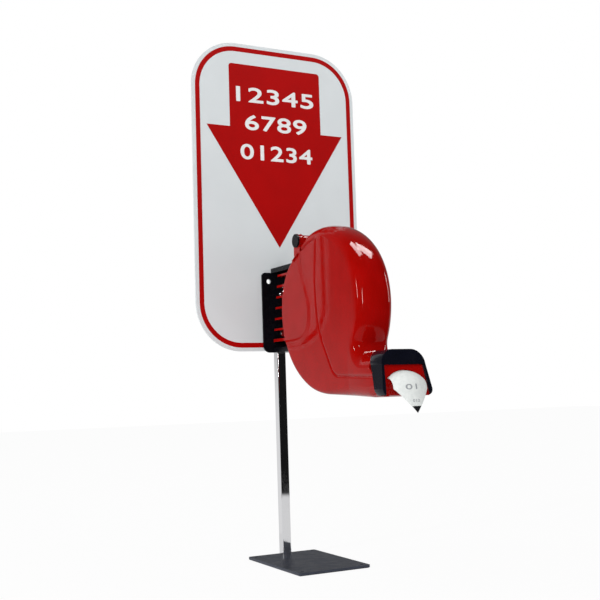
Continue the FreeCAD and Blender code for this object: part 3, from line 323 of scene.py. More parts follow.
def uncoated_paper(name):
    """Uncoated ticket paper: matt, with fibres about 1 mm long and a mottle of about 4 mm."""
    material, tree, mm = new_material(name)
    stretched = add(tree, "Mapping", {"Vector": mm, "Scale": (1.0, 0.35, 0.35)})
    fibres = add(tree, "TexNoise", {"Vector": stretched.outputs["Vector"], "Scale": 1 / 0.35, "Detail": 4.0})
    mottle = add(tree, "TexNoise", {"Vector": mm, "Scale": 1 / 4.0, "Detail": 4.0, "Roughness": 0.6})
    tint = add(tree, "MapRange", {"Value": mottle.outputs["Fac"], "From Min": 0.3, "From Max": 0.7,
                                  "To Min": 0.0, "To Max": 1.0},
               interpolation_type="SMOOTHSTEP").outputs["Result"]
    colour = add(tree, "Mix", {"Factor": tint, "A": srgb("D6D9D7"), "B": srgb("CDD1CF")}, data_type="RGBA")
    bump = add(tree, "Bump", {"Height": fibres.outputs["Fac"], "Distance": 0.03 * MM, "Strength": 0.5})
    shader = add(tree, "BsdfPrincipled", {"Base Color": colour.outputs["Result"], "Roughness": 0.82,
                                          "IOR": 1.45, "Normal": bump.outputs["Normal"]})
    add(tree, "OutputMaterial", {"Surface": shader.outputs["BSDF"]})
    return material


RING_TURN = 6.28
RING_MM = 0.9


def wound_paper(name):
    """The side of a wound paper roll: rings where the turns meet, from a sine of the distance to its axis.

    They are 0.9 mm apart, far coarser than the paper's thickness, so that they show.
    """
    material, tree, mm = new_material(name)
    low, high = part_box("ticket_roll")
    centre = [-(a + b) / 2 / MM for a, b in zip(low, high)]
    about = add(tree, "Mapping", {"Vector": mm, "Location": centre})
    across = add(tree, "SeparateXYZ", {"Vector": about.outputs["Vector"]})
    flat = add(tree, "CombineXYZ", {"X": 0.0, "Y": across.outputs["Y"], "Z": across.outputs["Z"]})
    radius = add(tree, "VectorMath", {0: flat.outputs["Vector"]}, operation="LENGTH")
    turns = add(tree, "Math", {0: radius.outputs["Value"], 1: RING_TURN / RING_MM}, operation="MULTIPLY")
    rings = add(tree, "Math", {0: turns.outputs["Value"]}, operation="SINE")
    tint = add(tree, "MapRange", {"Value": rings.outputs["Value"], "From Min": -1.0, "From Max": 1.0,
                                  "To Min": 0.0, "To Max": 1.0},
               interpolation_type="SMOOTHSTEP").outputs["Result"]
    colour = add(tree, "Mix", {"Factor": tint, "A": srgb("D2D5D2"), "B": srgb("BCC0BD")}, data_type="RGBA")
    bump = add(tree, "Bump", {"Height": rings.outputs["Value"], "Distance": 0.05 * MM, "Strength": 0.6})
    shader = add(tree, "BsdfPrincipled", {"Base Color": colour.outputs["Result"], "Roughness": 0.85,
                                          "Normal": bump.outputs["Normal"]})
    add(tree, "OutputMaterial", {"Surface": shader.outputs["BSDF"]})
    return material


def spiral_board(name):
    """Grey-brown paper board wound in a spiral: matt and fibrous, in bands 12 mm wide."""
    material, tree, mm = new_material(name)
    bands = add(tree, "TexWave", {"Vector": mm, "Scale": 1 / 12.0, "Distortion": 0.4, "Detail": 2.0},
                wave_type="BANDS", bands_direction="DIAGONAL")
    fibres = add(tree, "TexNoise", {"Vector": mm, "Scale": 1 / 0.7, "Detail": 4.0})
    colour = add(tree, "Mix", {"Factor": bands.outputs["Fac"], "A": srgb("A48B6C"), "B": srgb("8C7458")},
                 data_type="RGBA")
    bump = add(tree, "Bump", {"Height": fibres.outputs["Fac"], "Distance": 0.05 * MM, "Strength": 0.6})
    shader = add(tree, "BsdfPrincipled", {"Base Color": colour.outputs["Result"], "Roughness": 0.88,
                                          "Normal": bump.outputs["Normal"]})
    add(tree, "OutputMaterial", {"Surface": shader.outputs["BSDF"]})
    return material


def sheet_rubber(name):
    """Moulded black sheet rubber: dull, with pebbles 0.8 mm apart in its skin."""
    material, tree, mm = new_material(name)
    pebbles = add(tree, "TexVoronoi", {"Vector": mm, "Scale": 1 / 0.8})
    bump = add(tree, "Bump", {"Height": pebbles.outputs["Distance"], "Distance": 0.08 * MM, "Strength": 0.7})
    shader = add(tree, "BsdfPrincipled", {"Base Color": srgb("191919"), "Roughness": 0.78,
                                          "Normal": bump.outputs["Normal"]})
    add(tree, "OutputMaterial", {"Surface": shader.outputs["BSDF"]})
    return material


def foam_tape(name):
    """Closed-cell foam tape: grey and matt, with cells of about 0.45 mm along its cut edge."""
    material, tree, mm = new_material(name)
    cells = add(tree, "TexVoronoi", {"Vector": mm, "Scale": 1 / 0.45})
    tint = add(tree, "MapRange", {"Value": cells.outputs["Distance"], "From Min": 0.1, "From Max": 0.6,
                                  "To Min": 0.0, "To Max": 1.0},
               interpolation_type="SMOOTHSTEP").outputs["Result"]
    colour = add(tree, "Mix", {"Factor": tint, "A": srgb("5E5E5E"), "B": srgb("828282")}, data_type="RGBA")
    bump = add(tree, "Bump", {"Height": cells.outputs["Distance"], "Distance": 0.1 * MM, "Strength": 0.6})
    shader = add(tree, "BsdfPrincipled", {"Base Color": colour.outputs["Result"], "Roughness": 0.9,
                                          "Normal": bump.outputs["Normal"]})
    add(tree, "OutputMaterial", {"Surface": shader.outputs["BSDF"]})
    return material


RED_ABS = moulded_abs("glossy_moulded_red_abs", "940705", "8E0603", 0.06, 0.11, 0.02, 0.002, 1.2, 0.2)
BLACK_ABS = moulded_abs("satin_moulded_black_abs", "08080C", "0B0B10", 0.26, 0.38, 0.05, 0.02, 0.9, 0.12)
BEZEL_ABS = moulded_abs("polished_moulded_black_abs", "0A0B14", "0E0F1A", 0.16, 0.26, 0.03, 0.008, 1.0, 0.33)
BLACK_POWDER = powder_coat("black_powder_coat_on_steel", "282D3B", "2F3545")
CHROME = polished_chrome("polished_chrome_plate")
ZINC = zinc_plate("bright_zinc_plate")
STYRENE = styrene_sheet("white_styrene_sheet")
RED_INK = screen_print("red_screen_print", "A40000", "9E0000")
WHITE_INK = screen_print("white_screen_print", "E0E0E0", "DBDBDB")
GREY_INK = screen_print("grey_ticket_ink", "8C8F92", "94979A")
BLACK_INK = screen_print("black_ticket_ink", "141416", "1B1B1E")
PAPER = uncoated_paper("uncoated_ticket_paper")
PAPER_ROLL = wound_paper("wound_paper_roll")
BOARD = spiral_board("spiral_wound_board")
RUBBER = sheet_rubber("black_sheet_rubber")
FOAM = foam_tape("grey_foam_tape")

TICKET_ROWS = (                        # text, height, width, weight, place across, place along, ink
    ("01", 6.2, 14.0, 0.3, -3.5, 27.0, GREY_INK),
    ("012", 3.0, 9.0, 0.1, 0.3, 42.5, GREY_INK),
)

FINISHES = {
    "base_pad": RUBBER, "base_plate": BLACK_POWDER, "foot_screw": ZINC, "foot_plug": ZINC,
    "pole": CHROME, "pole_cap": BLACK_ABS, "sign_tape": FOAM, "sign_panel": STYRENE,
    "sign_border": RED_INK, "sign_arrow": RED_INK, "wall_bracket": BLACK_ABS,
    "bracket_screws": CHROME, "bracket_washers": ZINC, "bracket_nuts": ZINC, "rack_pin": ZINC,
    "mounting_rack": RED_ABS, "rear_shell": RED_ABS, "front_cover": RED_ABS, "hinge_pin": ZINC,
    "hinge_caps": BLACK_ABS, "mouth_bezel": BEZEL_ABS, "upper_jaw": RED_ABS, "lower_jaw": RED_ABS,
    "roll_spindle": BLACK_ABS, "spindle_screw": ZINC, "roll_core": BOARD, "ticket_roll": PAPER_ROLL,
    "ticket_web": PAPER, "hanging_ticket": PAPER,
}
for node_name, finish in FINISHES.items():
    for slot in NODES[node_name].material_slots:
        slot.material = finish


# ---- rounded edges ---------------------------------------------------------
def round_edges(piece, name, width, segments, angle):
    """Rounds the edges that are sharper than an angle, as a mould leaves them."""
    bevel = piece.modifiers.new(name, "BEVEL")
    bevel.width = width * MM
    bevel.segments = segments
    bevel.limit_method = "ANGLE"
    bevel.angle_limit = math.radians(angle)
    return bevel


def soften(node_name, width):
    """Joins the loose faces of a CAD piece and rounds its sharp edges."""
    piece = NODES[node_name]
    weld = piece.modifiers.new("join_faces", "WELD")
    weld.merge_threshold = 0.002 * MM
    round_edges(piece, "rounded_edges", width, 3, BEZEL_ROUND_ANGLE).harden_normals = True


# ---- curves and surfaces ---------------------------------------------------
def arc_points(centre, radius, start, end, count):
    """Points on a circle about a centre, at even angles from start to end in degrees."""
    turn = np.radians(np.linspace(start, end, count))
    return np.column_stack((centre[0] + radius * np.cos(turn), centre[1] + radius * np.sin(turn)))


def pulled_curve(start, pull, end, count):
    """A curve from start to end, drawn towards a pull point: weights (1-t)^2, 2t(1-t) and t^2."""
    t = np.linspace(0.0, 1.0, count)[:, None]
    return (1 - t) ** 2 * np.array(start) + 2 * t * (1 - t) * np.array(pull) + t ** 2 * np.array(end)


def length_along(points):
    """Distance along a line at each of its points: the running sum of its steps."""
    return np.concatenate(([0.0], np.cumsum(np.hypot(*np.diff(points, axis=0).T))))


def even_points(points, count):
    """The same line through points, with count points at even distances along it."""
    points = np.asarray(points, float)
    length = length_along(points)
    wanted = np.linspace(0.0, length[-1], count)
    return np.column_stack([np.interp(wanted, length, points[:, k]) for k in (0, 1)])


def normals_of(points):
    """Unit normals of a line, to the left of its direction, from the slope at each point."""
    slope = np.gradient(points, axis=0)
    slope /= np.linalg.norm(slope, axis=1)[:, None]
    return np.column_stack((-slope[:, 1], slope[:, 0]))


def smooth(value, low, high):
    """0 below low and 1 above high, with an S-shaped rise between."""
    t = np.clip((value - low) / (high - low), 0.0, 1.0)
    return t * t * (3 - 2 * t)


def new_piece(name, points, faces, finish, body, shade_angle=40.0):
    """Makes a mesh piece from points in metres, shades it and gives it its finish and body."""
    mesh = bpy.data.meshes.new(name)
    mesh.from_pydata(points.tolist(), [], faces if isinstance(faces, list) else faces.tolist())
    mesh.update()
    mesh.polygons.foreach_set("use_smooth", np.ones(len(mesh.polygons), bool))
    mesh.set_sharp_from_angle(angle=math.radians(shade_angle))
    mesh.materials.append(finish)
    piece = bpy.data.objects.new(name, mesh)
    bpy.context.collection.objects.link(piece)
    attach(piece, body)
    return piece


def grid_faces(rows, columns, wrap_rows=False, wrap_columns=False):
    """Four-sided faces of a grid of points stored row by row."""
    r = np.arange(rows if wrap_rows else rows - 1)[:, None]
    c = np.arange(columns if wrap_columns else columns - 1)[None, :]
    r2, c2 = (r + 1) % rows, (c + 1) % columns
    corners = [r * columns + c, r * columns + c2, r2 * columns + c2, r2 * columns + c]
    return np.stack([np.broadcast_to(k, (r.shape[0], c.shape[1])) for k in corners], -1).reshape(-1, 4)


# ---- casing ----------------------------------------------------------------
DRUM_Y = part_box("rear_shell")[1][1] / MM - BACK_R
DRUM_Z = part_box("front_cover")[1][2] / MM - CROWN_R
HINGE_W = (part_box("hinge_pin")[0][2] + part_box("hinge_pin")[1][2]) / 2 / MM - DRUM_Z


def to_frame(across, u, w):
    """Millimetres from the drum axis as points in the frame, in metres."""
    return np.stack([across, DRUM_Y + u, DRUM_Z + w], -1).reshape(-1, 3) * MM


def mouth_u(w):
    """Back edge of the bezel at a height, on the straight line between its two ends."""
    return MOUTH_TOP[0] + (MOUTH_LOW[0] - MOUTH_TOP[0]) * (w - MOUTH_TOP[1]) / (MOUTH_LOW[1] - MOUTH_TOP[1])


def floor_w(u):
    """Height of the casing's floor, which slopes evenly."""
    return FLOOR_W + math.tan(math.radians(FLOOR_SLOPE)) * u


def flatten_crown(points):
    """Lets a circle about the drum axis sink towards it, most at its top and fading out to both sides."""
    turn = np.degrees(np.arctan2(points[:, 1], points[:, 0]))
    turn = np.where(turn < -90, turn + 360, turn)
    sink = CROWN_SINK * (1 - smooth(np.abs(turn - CROWN_TOP), *CROWN_SINK_TURN))
    return points * (1 - sink / np.hypot(points[:, 0], points[:, 1]))[:, None]


def neck_centre():
    """Centre of the neck's hollow round, which touches both the crown's circle and the snout's flat top."""
    neck_w = SNOUT_TOP_W + NECK_R
    return -math.sqrt((CROWN_R + NECK_R) ** 2 - neck_w ** 2), neck_w


def crown_line():
    """Outline of the cover: round the crown from the hinge, through the neck, along the snout's top."""
    neck_u, neck_w = neck_centre()
    neck_turn = math.degrees(math.atan2(-neck_w, -neck_u))
    hinge_turn = math.degrees(math.atan2(HINGE_W, HINGE_U))
    top_turn = math.degrees(math.acos(PARTING_END_U / PARTING_R))
    start = hinge_turn + math.degrees((KNUCKLE_R - KNUCKLE_SINK) / CROWN_R)
    over = arc_points((0, 0), CROWN_R, start, top_turn, 18)
    front = arc_points((0, 0), CROWN_R, top_turn, 180 + neck_turn, 90)
    neck = arc_points((neck_u, neck_w), NECK_R, neck_turn, -90, 14)
    top = np.column_stack((np.linspace(neck_u, mouth_u(SNOUT_TOP_W), 12), np.full(12, SNOUT_TOP_W)))
    return flatten_crown(over), np.vstack((flatten_crown(front), neck[1:], top[1:]))


def parting_line():
    """The line between cover and rear shell: under the crown, down the side, and along the snout."""
    start = math.degrees(math.acos(HINGE_FOOT_U / PARTING_R))
    end = math.degrees(math.acos(PARTING_END_U / PARTING_R))
    over = arc_points((0, 0), PARTING_R, start, end, 18)
    side = pulled_curve(*SEAM_SIDE, 14)
    corner = pulled_curve(*SEAM_CORNER, 14)
    down = np.vstack((over[-1:], side, corner, [(mouth_u(SEAM_MOUTH_W), SEAM_MOUTH_W)]))
    return over, down


def back_line():
    """Outline of the rear shell: over the shoulder, down the back, round the belly, along the floor.

    Circles that touch one another make it; the belly's radius is the one
    whose circle touches both the back's circle and the sloping floor.
    """
    slope, turn = math.radians(FLOOR_SLOPE), math.radians(BELLY_TURN)
    lean = math.sin(slope) * math.cos(turn) - math.cos(slope) * math.sin(turn)
    belly_r = (-FLOOR_W * math.cos(slope) - BACK_R * lean) / (1 - lean)
    belly = (-(belly_r - BACK_R) * math.cos(turn), -(belly_r - BACK_R) * math.sin(turn))
    inward = BACK_R - SHOULDER_R
    first, last = SHOULDER_TURN
    shoulder = (inward * math.cos(math.radians(first)), inward * math.sin(math.radians(first)))
    over = arc_points(shoulder, SHOULDER_R, last, first, 30)
    down = arc_points((0, 0), BACK_R, first, BELLY_TURN, 40)
    under = arc_points(belly, belly_r, BELLY_TURN, FLOOR_SLOPE - 90, 40)
    front_u = mouth_u(floor_w(MOUTH_LOW[0] + 2.0))
    return np.vstack((over, down[1:], under[1:], [(front_u, floor_w(front_u))]))


def side_half(u, w, seam, rear):
    """Half of the width at a point of the side: flared along the snout, rolled in at the seam.

    On the rear shell a soft D-shaped panel stands proud towards the back.
    """
    along = np.clip((SNOUT_ROOT_U - u) / (SNOUT_ROOT_U - MOUTH_LOW[0]), 0.0, 1.0)
    depth = np.clip((SNOUT_TOP_W - w) / (SNOUT_TOP_W - MOUTH_LOW[1]), 0.0, 1.0)
    spread = SNOUT_SPREAD[0] + (SNOUT_SPREAD[1] - SNOUT_SPREAD[0]) * depth
    half = HALF_WIDTH + along * spread * smooth(-w, SPREAD_FROM, -SNOUT_TOP_W)
    gap = np.sqrt(((np.stack((u, w), -1)[..., None, :] - seam) ** 2).sum(-1)).min(-1)
    half = half - LIP_DROP * (1 - smooth(gap, 0.0, LIP_SOFT)) ** 2
    if rear:
        under = STEP_LOW - w
        ahead = STEP_FRONT + STEP_LEAN * np.maximum(w - STEP_LEAN_FROM, 0.0) - u
        share = np.clip(0.5 + 0.5 * (ahead - under) / STEP_BLEND, 0.0, 1.0)
        outside = under * (1 - share) + ahead * share + STEP_BLEND * share * (1 - share)
        half = half + STEP_RISE * (1 - smooth(outside, -STEP_SOFT, STEP_SOFT)) - STEP_RISE / 2
    return half


def shell_sheet(outline, seam, rounding, rear):
    """A casing half as one sheet of points, from the seam on one side over to the seam on the other.

    Each row starts at a seam point, runs straight across the side to the
    outline set in by the rounding, and turns through the rounded edge: on
    the cover by a superellipse that reaches the middle, on the rear shell
    by a quarter circle and a flat back. The other half is its mirror.
    """
    normal = normals_of(outline) * (-1.0 if rear else 1.0)
    inset = outline + normal * rounding[:, None]
    reach = np.linalg.norm(inset - seam, axis=1)
    lip = np.array(LIP_STEPS)
    lip_share = np.minimum(lip[None, :] / reach[:, None], np.linspace(0.0, 0.45, len(lip))[None, :])
    rest = np.linspace(0.0, 1.0, 27)[1:]
    share = np.concatenate((lip_share, lip_share[:, -1:] + (1 - lip_share[:, -1:]) * rest[None, :]), 1)
    flat = seam[:, None, :] + (inset - seam)[:, None, :] * share[..., None]
    fine_seam = even_points(seam, 500)
    across_flat = side_half(flat[..., 0], flat[..., 1], fine_seam, rear)
    edge_half = across_flat[:, -1:]
    turn = np.linspace(0.0, math.pi / 2, 15)[1:][None, :]
    if rear:
        across_round = edge_half - rounding[:, None] * (1 - np.cos(turn))
        depth = rounding[:, None] * (1 - np.sin(turn))
    else:
        part = np.cos(turn)
        across_round = edge_half * part
        depth = rounding[:, None] * (1 - np.sqrt(1 - part ** CROWN_POWER))
    round_points = outline[:, None, :] + normal[:, None, :] * depth[..., None]
    if rear:
        middle = np.zeros((len(outline), 1))
        across_round = np.concatenate((across_round, across_round[:, -1:] / 2, middle), 1)
        round_points = np.concatenate((round_points, outline[:, None, :], outline[:, None, :]), 1)
    across = np.concatenate((across_flat, across_round), 1)
    place_uw = np.concatenate((flat, round_points), 1)
    if rear:
        inside = 1 - smooth(across, *LIFT_ACROSS)
        lift = FLOOR_LIFT[0] * (1 - inside) + FLOOR_LIFT[1] * inside
        lift = lift * smooth(-place_uw[..., 0], *LIFT_AHEAD) * smooth(-place_uw[..., 1], *LIFT_BELOW)
        place_uw[..., 1] += lift
    both = np.concatenate((-across, across[:, -2::-1]), 1)
    place_both = np.concatenate((place_uw, place_uw[:, -2::-1]), 1)
    return both, place_both


def build_shell(name, outline, seam, rounding, rear, body):
    """A casing half as a mesh, its wall grown inwards from the sheet, with eased rims."""
    across, place_uw = shell_sheet(outline, seam, rounding, rear)
    rows, columns = across.shape
    points = to_frame(across, place_uw[..., 0], place_uw[..., 1])
    faces = grid_faces(rows, columns)
    if not rear:
        faces = faces[:, ::-1]
    piece = new_piece(name, points, faces, RED_ABS, body, 60.0)
    wall = piece.modifiers.new("wall", "SOLIDIFY")
    wall.thickness = WALL * MM
    wall.offset = -1.0
    wall.use_even_offset = False
    round_edges(piece, "rim", SHELL_RIM, 2, SHELL_RIM_ANGLE)
    return piece


def points_by_keys(points, keys, shares, count):
    """A line through points sampled so that it passes its key points at given shares of the samples."""
    length = length_along(points)
    offsets = points[None, :, :] - np.asarray(keys)[:, None, :]
    at_keys = length[np.hypot(offsets[..., 0], offsets[..., 1]).argmin(1)]
    wanted = np.interp(np.linspace(0.0, 1.0, count), np.concatenate(([0.0], shares, [1.0])),
                       np.concatenate(([0.0], at_keys, [length[-1]])))
    return np.column_stack([np.interp(wanted, length, points[:, k]) for k in (0, 1)])


def build_front_cover():
    """The cover's shell and its hinge knuckle.

    Rows join the crown to the seam between matching key points, so that
    they spread round the neck without crossing.
    """
    over, front = crown_line()
    seam_over, seam_down = parting_line()
    neck_u, neck_w = neck_centre()
    key_turn = math.radians(CROWN_KEY_TURN)
    crown_keys = ((CROWN_R * math.cos(key_turn), CROWN_R * math.sin(key_turn)), (-CROWN_R, 0.0),
                  (neck_u * CROWN_R / (CROWN_R + NECK_R), neck_w * CROWN_R / (CROWN_R + NECK_R)),
                  (neck_u, SNOUT_TOP_W))
    keys_crown = points_by_keys(even_points(front, 2000), crown_keys, KEY_SHARES, 300)
    keys_seam = points_by_keys(even_points(seam_down, 2000), SEAM_KEYS, KEY_SHARES, 300)
    outline = np.vstack((over, keys_crown[1:]))
    seam = np.vstack((seam_over, keys_seam[1:]))
    rounding = np.minimum(CROWN_ROUND, np.linalg.norm(outline - seam, axis=1) - ROUND_MARGIN)
    cover = build_shell("cover_shell", outline, seam, rounding, False, "cover")
    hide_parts("front_cover")
    knuckle = build_knuckle()
    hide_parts("front_cover")


def build_rear_shell():
    """The rear shell: its seam is the parting line moved off the cover by the gap between them."""
    outline = even_points(back_line(), 320)
    seam_over, seam_down = parting_line()
    seam_line = np.vstack((seam_over, seam_down[1:]))
    behind = seam_line - normals_of(seam_line) * PARTING_GAP
    seam = even_points(behind, 320)
    length = length_along(outline)
    first, last = (share * length[-1] for share in ROUND_SHARES)
    rounding = BACK_ROUND + (FLOOR_ROUND - BACK_ROUND) * smooth(length, first, last)
    shell = build_shell("rear_casing_shell", outline, seam, rounding, True, "stand")
    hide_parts("rear_shell")


def build_knuckle():
    """The cover's hinge knuckle: a tube, drawn as a closed profile with eased ends carried round the pin."""
    ease, slight = KNUCKLE_EASE, KNUCKLE_EASE * 0.3
    ends = (-KNUCKLE_HALF, KNUCKLE_HALF)
    profile = np.array([(PIN_BORE_R, ends[0]), (KNUCKLE_R - ease, ends[0]),
                        (KNUCKLE_R - slight, ends[0] + slight), (KNUCKLE_R, ends[0] + ease),
                        (KNUCKLE_R, ends[1] - ease), (KNUCKLE_R - slight, ends[1] - slight),
                        (KNUCKLE_R - ease, ends[1]), (PIN_BORE_R, ends[1])])
    turn = np.linspace(0, 2 * math.pi, 72, endpoint=False)[:, None]
    u = HINGE_U + profile[None, :, 0] * np.cos(turn)
    w = HINGE_W + profile[None, :, 0] * np.sin(turn)
    across = np.broadcast_to(profile[None, :, 1], u.shape)
    faces = grid_faces(72, len(profile), True, True)
    points = to_frame(across, u, w)
    return new_piece("cover_knuckle", points, faces[:, ::-1], RED_ABS, "cover", 30.0)


def build_ears():
    """The rear shell's two hinge ears: a round end and a tapering foot, carried across their thickness."""
    around = arc_points((HINGE_U, HINGE_W), EAR_R, *EAR_TURN, 40)
    outline = np.vstack((around, [EAR_FOOT_INNER, EAR_FOOT_OUTER]))
    count = len(outline)
    for side, name in ((-1, "hinge_ear_left"), (1, "hinge_ear_right")):
        u = np.tile(outline[:, 0], 2)
        w = np.tile(outline[:, 1], 2)
        across = np.repeat((EAR_INNER, HALF_WIDTH), count) * side
        ring = grid_faces(2, count, False, True)
        caps = [list(range(count)), list(range(2 * count - 1, count - 1, -1))]
        faces = ring.tolist() + caps
        if side > 0:
            faces = [face[::-1] for face in faces]
        ear = new_piece(name, to_frame(across, u, w), faces, RED_ABS, "stand", 40.0)
        round_edges(ear, "rim", EAR_RIM, 3, EAR_RIM_ANGLE)
        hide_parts("rear_shell")


build_front_cover()
build_rear_shell()
build_ears()


# ---- sign numerals -------------------------------------------------------
def flat_numerals(text, height, width, weight):
    """A line of numerals as flat triangles about its own middle, in millimetres.

    It is drawn several times, a little to each side and each time a little
    higher, so that the strokes grow by the weight.
    """
    curve = bpy.data.curves.new(text, "FONT")
    curve.body = text
    curve.space_character = 1.06
    curve.resolution_u = 8
    text_object = bpy.data.objects.new(text, curve)
    bpy.context.collection.objects.link(text_object)
    bpy.context.view_layer.update()
    mesh = bpy.data.meshes.new_from_object(text_object)
    bpy.data.objects.remove(text_object)
    mesh.calc_loop_triangles()
    points = np.empty(len(mesh.vertices) * 3)
    mesh.vertices.foreach_get("co", points)
    faces = np.empty(len(mesh.loop_triangles) * 3, int)
    mesh.loop_triangles.foreach_get("vertices", faces)
    points, faces = points.reshape(-1, 3), faces.reshape(-1, 3)
    low, high = points.min(0), points.max(0)
    middle, size = (low + high) / 2, high - low
    flat = (points - middle) * [(width - weight) / size[0], (height - weight) / size[1], 0]
    shifts = np.array(STROKE_SHIFTS)
    layers = np.column_stack((shifts * weight / 2, INK_FILM * (1 + np.arange(len(shifts)) / 4)))
    copies = flat[None, :, :] + layers[:, None, :]
    numbers = faces[None, :, :] + len(flat) * np.arange(len(shifts))[:, None, None]
    return copies.reshape(-1, 3), numbers.reshape(-1, 3)


def build_sign_numerals():
    """Rows of white numerals on the arrow's face, above and below the sign's middle."""
    face_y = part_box("sign_arrow")[0][1] / MM
    panel_low, panel_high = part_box("sign_panel")
    middle = (panel_low[2] + panel_high[2]) / 2 / MM
    for index, text in enumerate(NUMERAL_ROWS):
        drawn, faces = flat_numerals(text, CAP_HEIGHT, ROW_WIDTHS[index], NUMERAL_WEIGHT)
        heights = middle + ROW_HEIGHTS[index] + drawn[:, 1]
        points = np.column_stack((drawn[:, 0], face_y - drawn[:, 2], heights))
        name = "sign_numerals_%d" % (index + 1)
        new_piece(name, points * MM, faces, WHITE_INK, "stand")


build_sign_numerals()


# ---- ticket prints ---------------------------------------------------------
def on_ticket(across, along, above):
    """Points on the hanging ticket: across it, along it from the start of its bend, and above its middle.

    The paper is arched across, bends down about a level axis, hangs straight
    and is turned with the path it comes from.
    """
    arch = np.sqrt(ARCH_R ** 2 - across ** 2) - ARCH_R + above
    bend = math.radians(BEND_ANGLE)
    turn = np.minimum(along / BEND_R, bend)
    rest = np.maximum(along - BEND_R * bend, 0.0)
    y = -WEB_AHEAD - (BEND_R + arch) * np.sin(turn) - rest * math.cos(bend)
    z = -BEND_R + (BEND_R + arch) * np.cos(turn) - rest * math.sin(bend)
    tilt = math.radians(PATH_TILT)
    u = EXIT_PLACE[0] + y * math.cos(tilt) - z * math.sin(tilt)
    w = EXIT_PLACE[1] + y * math.sin(tilt) + z * math.cos(tilt)
    return to_frame(across, u, w)


def build_ticket_prints():
    """Grey numerals and a black pointed end on the hanging ticket.

    The point is a grid whose half-width falls evenly to nothing at the
    ticket's lowest edge.
    """
    for index, (text, height, width, weight, left, down, finish) in enumerate(TICKET_ROWS):
        drawn, faces = flat_numerals(text, height, width, weight)
        points = on_ticket(left + drawn[:, 0], down - drawn[:, 1], PAPER_LIFT + drawn[:, 2])
        new_piece("ticket_numerals_%d" % (index + 1), points, faces, finish, "ticket")
    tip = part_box("hanging_ticket")[0][2]
    start = BEND_R * math.radians(BEND_ANGLE)
    drop = math.sin(math.radians(BEND_ANGLE + PATH_TILT))
    end = start + (on_ticket(np.zeros(1), np.full(1, start), 0.0)[0, 2] - tip) / MM / drop
    share = np.linspace(0.0, TIP_CUT, 12)[:, None]
    half = TIP_HALF * (1 - share)
    across = half * np.linspace(-1.0, 1.0, 13)[None, :]
    along = np.broadcast_to(end - TIP_LENGTH * (1 - share), across.shape)
    points = on_ticket(across, along, PAPER_LIFT + INK_FILM)
    new_piece("ticket_pointed_end", points, grid_faces(12, 13)[:, ::-1], BLACK_INK, "ticket")


build_ticket_prints()

soften("mouth_bezel", BEZEL_ROUND)


# ---- stage ---------------------------------------------------------------
def build_stage():
    """A plain pale floor that the camera sees as nearly white, and that keeps the shadow.

    Shiny surfaces mirror it pale around and behind the stand, and dark
    further off in front.
    """
    size = FLOOR_SIZE
    corners = [(-size, -size, 0), (size, -size, 0), (size, size, 0), (-size, size, 0)]
    mesh = bpy.data.meshes.new("floor")
    mesh.from_pydata(corners, [], [(0, 1, 2, 3)])
    floor = bpy.data.objects.new("floor", mesh)
    bpy.context.collection.objects.link(floor)
    material = bpy.data.materials.new("pale_floor")
    material.use_nodes = True
    tree = material.node_tree
    tree.nodes.clear()
    diffuse = add(tree, "BsdfDiffuse", {"Color": srgb("F6F6F6")})
    glow = add(tree, "Emission", {"Color": (1, 1, 1, 1), "Strength": 1.0})
    path = add(tree, "LightPath")
    seen = add(tree, "Math", {0: path.outputs["Is Camera Ray"], 1: FLOOR_WHITE}, operation="MULTIPLY")
    mix = add(tree, "MixShader", {0: seen.outputs["Value"], 1: diffuse.outputs["BSDF"],
                                  2: glow.outputs["Emission"]})
    spot = add(tree, "TexCoord").outputs["Object"]
    reach = add(tree, "VectorMath", {0: spot}, operation="LENGTH").outputs["Value"]
    near = add(tree, "MapRange", {"Value": reach, "From Min": FLOOR_REACH,
                                  "From Max": FLOOR_REACH * FLOOR_FADE,
                                  "To Min": FLOOR_FRONT, "To Max": ROOM_DARK},
               interpolation_type="SMOOTHSTEP").outputs["Result"]
    depth = add(tree, "SeparateXYZ", {0: spot}).outputs["Y"]
    behind = add(tree, "MapRange", {"Value": depth, "From Min": FLOOR_BEHIND[0], "From Max": FLOOR_BEHIND[1],
                                    "To Min": 0.0, "To Max": FLOOR_NEAR},
                 interpolation_type="SMOOTHSTEP").outputs["Result"]
    brighter = add(tree, "Math", {0: near, 1: behind}, operation="MAXIMUM")
    mirrored = add(tree, "Emission", {"Color": (1, 1, 1, 1), "Strength": brighter.outputs["Value"]})
    floor_mix = add(tree, "MixShader", {0: path.outputs["Is Glossy Ray"], 1: mix.outputs["Shader"],
                                        2: mirrored.outputs["Emission"]})
    add(tree, "OutputMaterial", {"Surface": floor_mix.outputs["Shader"]})
    mesh.materials.append(material)


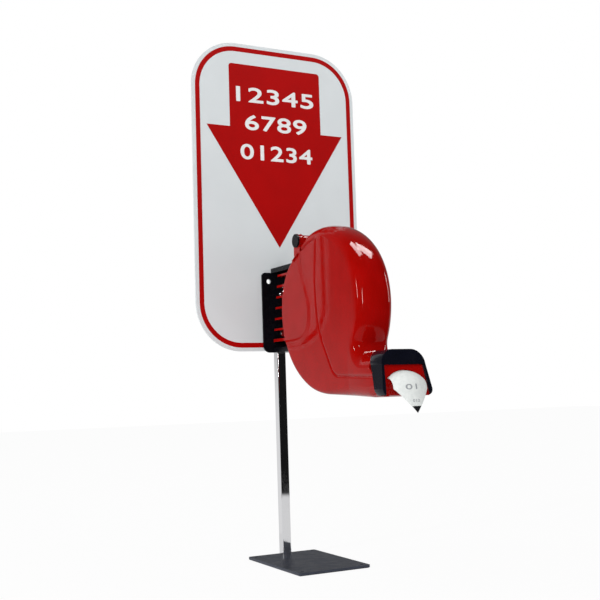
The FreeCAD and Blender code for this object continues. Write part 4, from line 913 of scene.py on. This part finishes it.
def build_world():
    """A white studio: plain white to the camera, and lighting that falls off evenly from left to right.

    Shiny surfaces mirror a pale wall behind the object and an almost dark room
    in front of it, so that gloss shows as highlights and not as a grey veil.
    """
    world = bpy.data.worlds.new("studio")
    world.use_nodes = True
    tree = world.node_tree
    tree.nodes.clear()
    path = add(tree, "LightPath")
    direction = add(tree, "SeparateXYZ", {0: add(tree, "TexCoord").outputs["Generated"]})
    level = add(tree, "MapRange", {"Value": direction.outputs["Z"], "From Min": WALL_HORIZON[0],
                                   "From Max": WALL_HORIZON[1],
                                   "To Min": FLOOR_NEAR, "To Max": ROOM_WALL},
                interpolation_type="SMOOTHSTEP").outputs["Result"]
    wall = add(tree, "MapRange", {"Value": direction.outputs["Y"], "From Min": WALL_BEHIND[0],
                                  "From Max": WALL_BEHIND[1], "To Min": ROOM_DARK, "To Max": level})
    sideways = add(tree, "MapRange", {"Value": direction.outputs["X"], "From Min": -1.0, "From Max": 1.0,
                                      "To Min": ROOM_LEFT, "To Max": ROOM_RIGHT}).outputs["Result"]
    mirrored = add(tree, "Mix", {"Factor": path.outputs["Is Glossy Ray"], "A": sideways,
                                 "B": wall.outputs["Result"]})
    seen = add(tree, "Mix", {"Factor": path.outputs["Is Camera Ray"], "A": mirrored.outputs["Result"],
                             "B": 1.0})
    background = add(tree, "Background", {"Color": (1, 1, 1, 1), "Strength": seen.outputs["Result"]})
    add(tree, "OutputWorld", {"Surface": background.outputs["Background"]})
    bpy.context.scene.world = world


def build_lamp(name, place_at, aim, width, height, power, only_mirrored):
    """A soft rectangular lamp turned to face a point; a window pane is only seen mirrored."""
    lamp = bpy.data.lights.new(name, "AREA")
    lamp.shape = "RECTANGLE"
    lamp.size = width
    lamp.size_y = height
    lamp.energy = power
    lamp_object = bpy.data.objects.new(name, lamp)
    bpy.context.collection.objects.link(lamp_object)
    lamp_object.location = place_at
    lamp_object.rotation_euler = (Vector(aim) - Vector(place_at)).to_track_quat("-Z", "Y").to_euler()
    lamp_object.visible_diffuse = not only_mirrored


def build_camera():
    """Right, up and forward directions from azimuth, pitch and roll give the camera's turn."""
    azimuth, pitch, roll = (math.radians(a) for a in (CAMERA_AZIMUTH, CAMERA_PITCH, CAMERA_ROLL))
    forward = Vector((-math.sin(azimuth) * math.cos(pitch), math.cos(azimuth) * math.cos(pitch),
                      math.sin(pitch)))
    level = Vector((math.cos(azimuth), math.sin(azimuth), 0))
    upright = level.cross(forward)
    right = math.cos(roll) * level + math.sin(roll) * upright
    up = math.cos(roll) * upright - math.sin(roll) * level
    data = bpy.data.cameras.new("camera")
    data.lens = CAMERA_LENS
    data.sensor_width = 36.0
    data.clip_end = 50.0
    camera = bpy.data.objects.new("camera", data)
    bpy.context.collection.objects.link(camera)
    camera.matrix_world = Matrix.Translation(CAMERA_AT) @ Matrix((right, up, -forward)).transposed().to_4x4()
    bpy.context.scene.camera = camera


build_stage()
build_world()
for lamp_settings in LAMPS:
    build_lamp(*lamp_settings)
build_camera()
bpy.context.scene.view_settings.view_transform = "Standard"
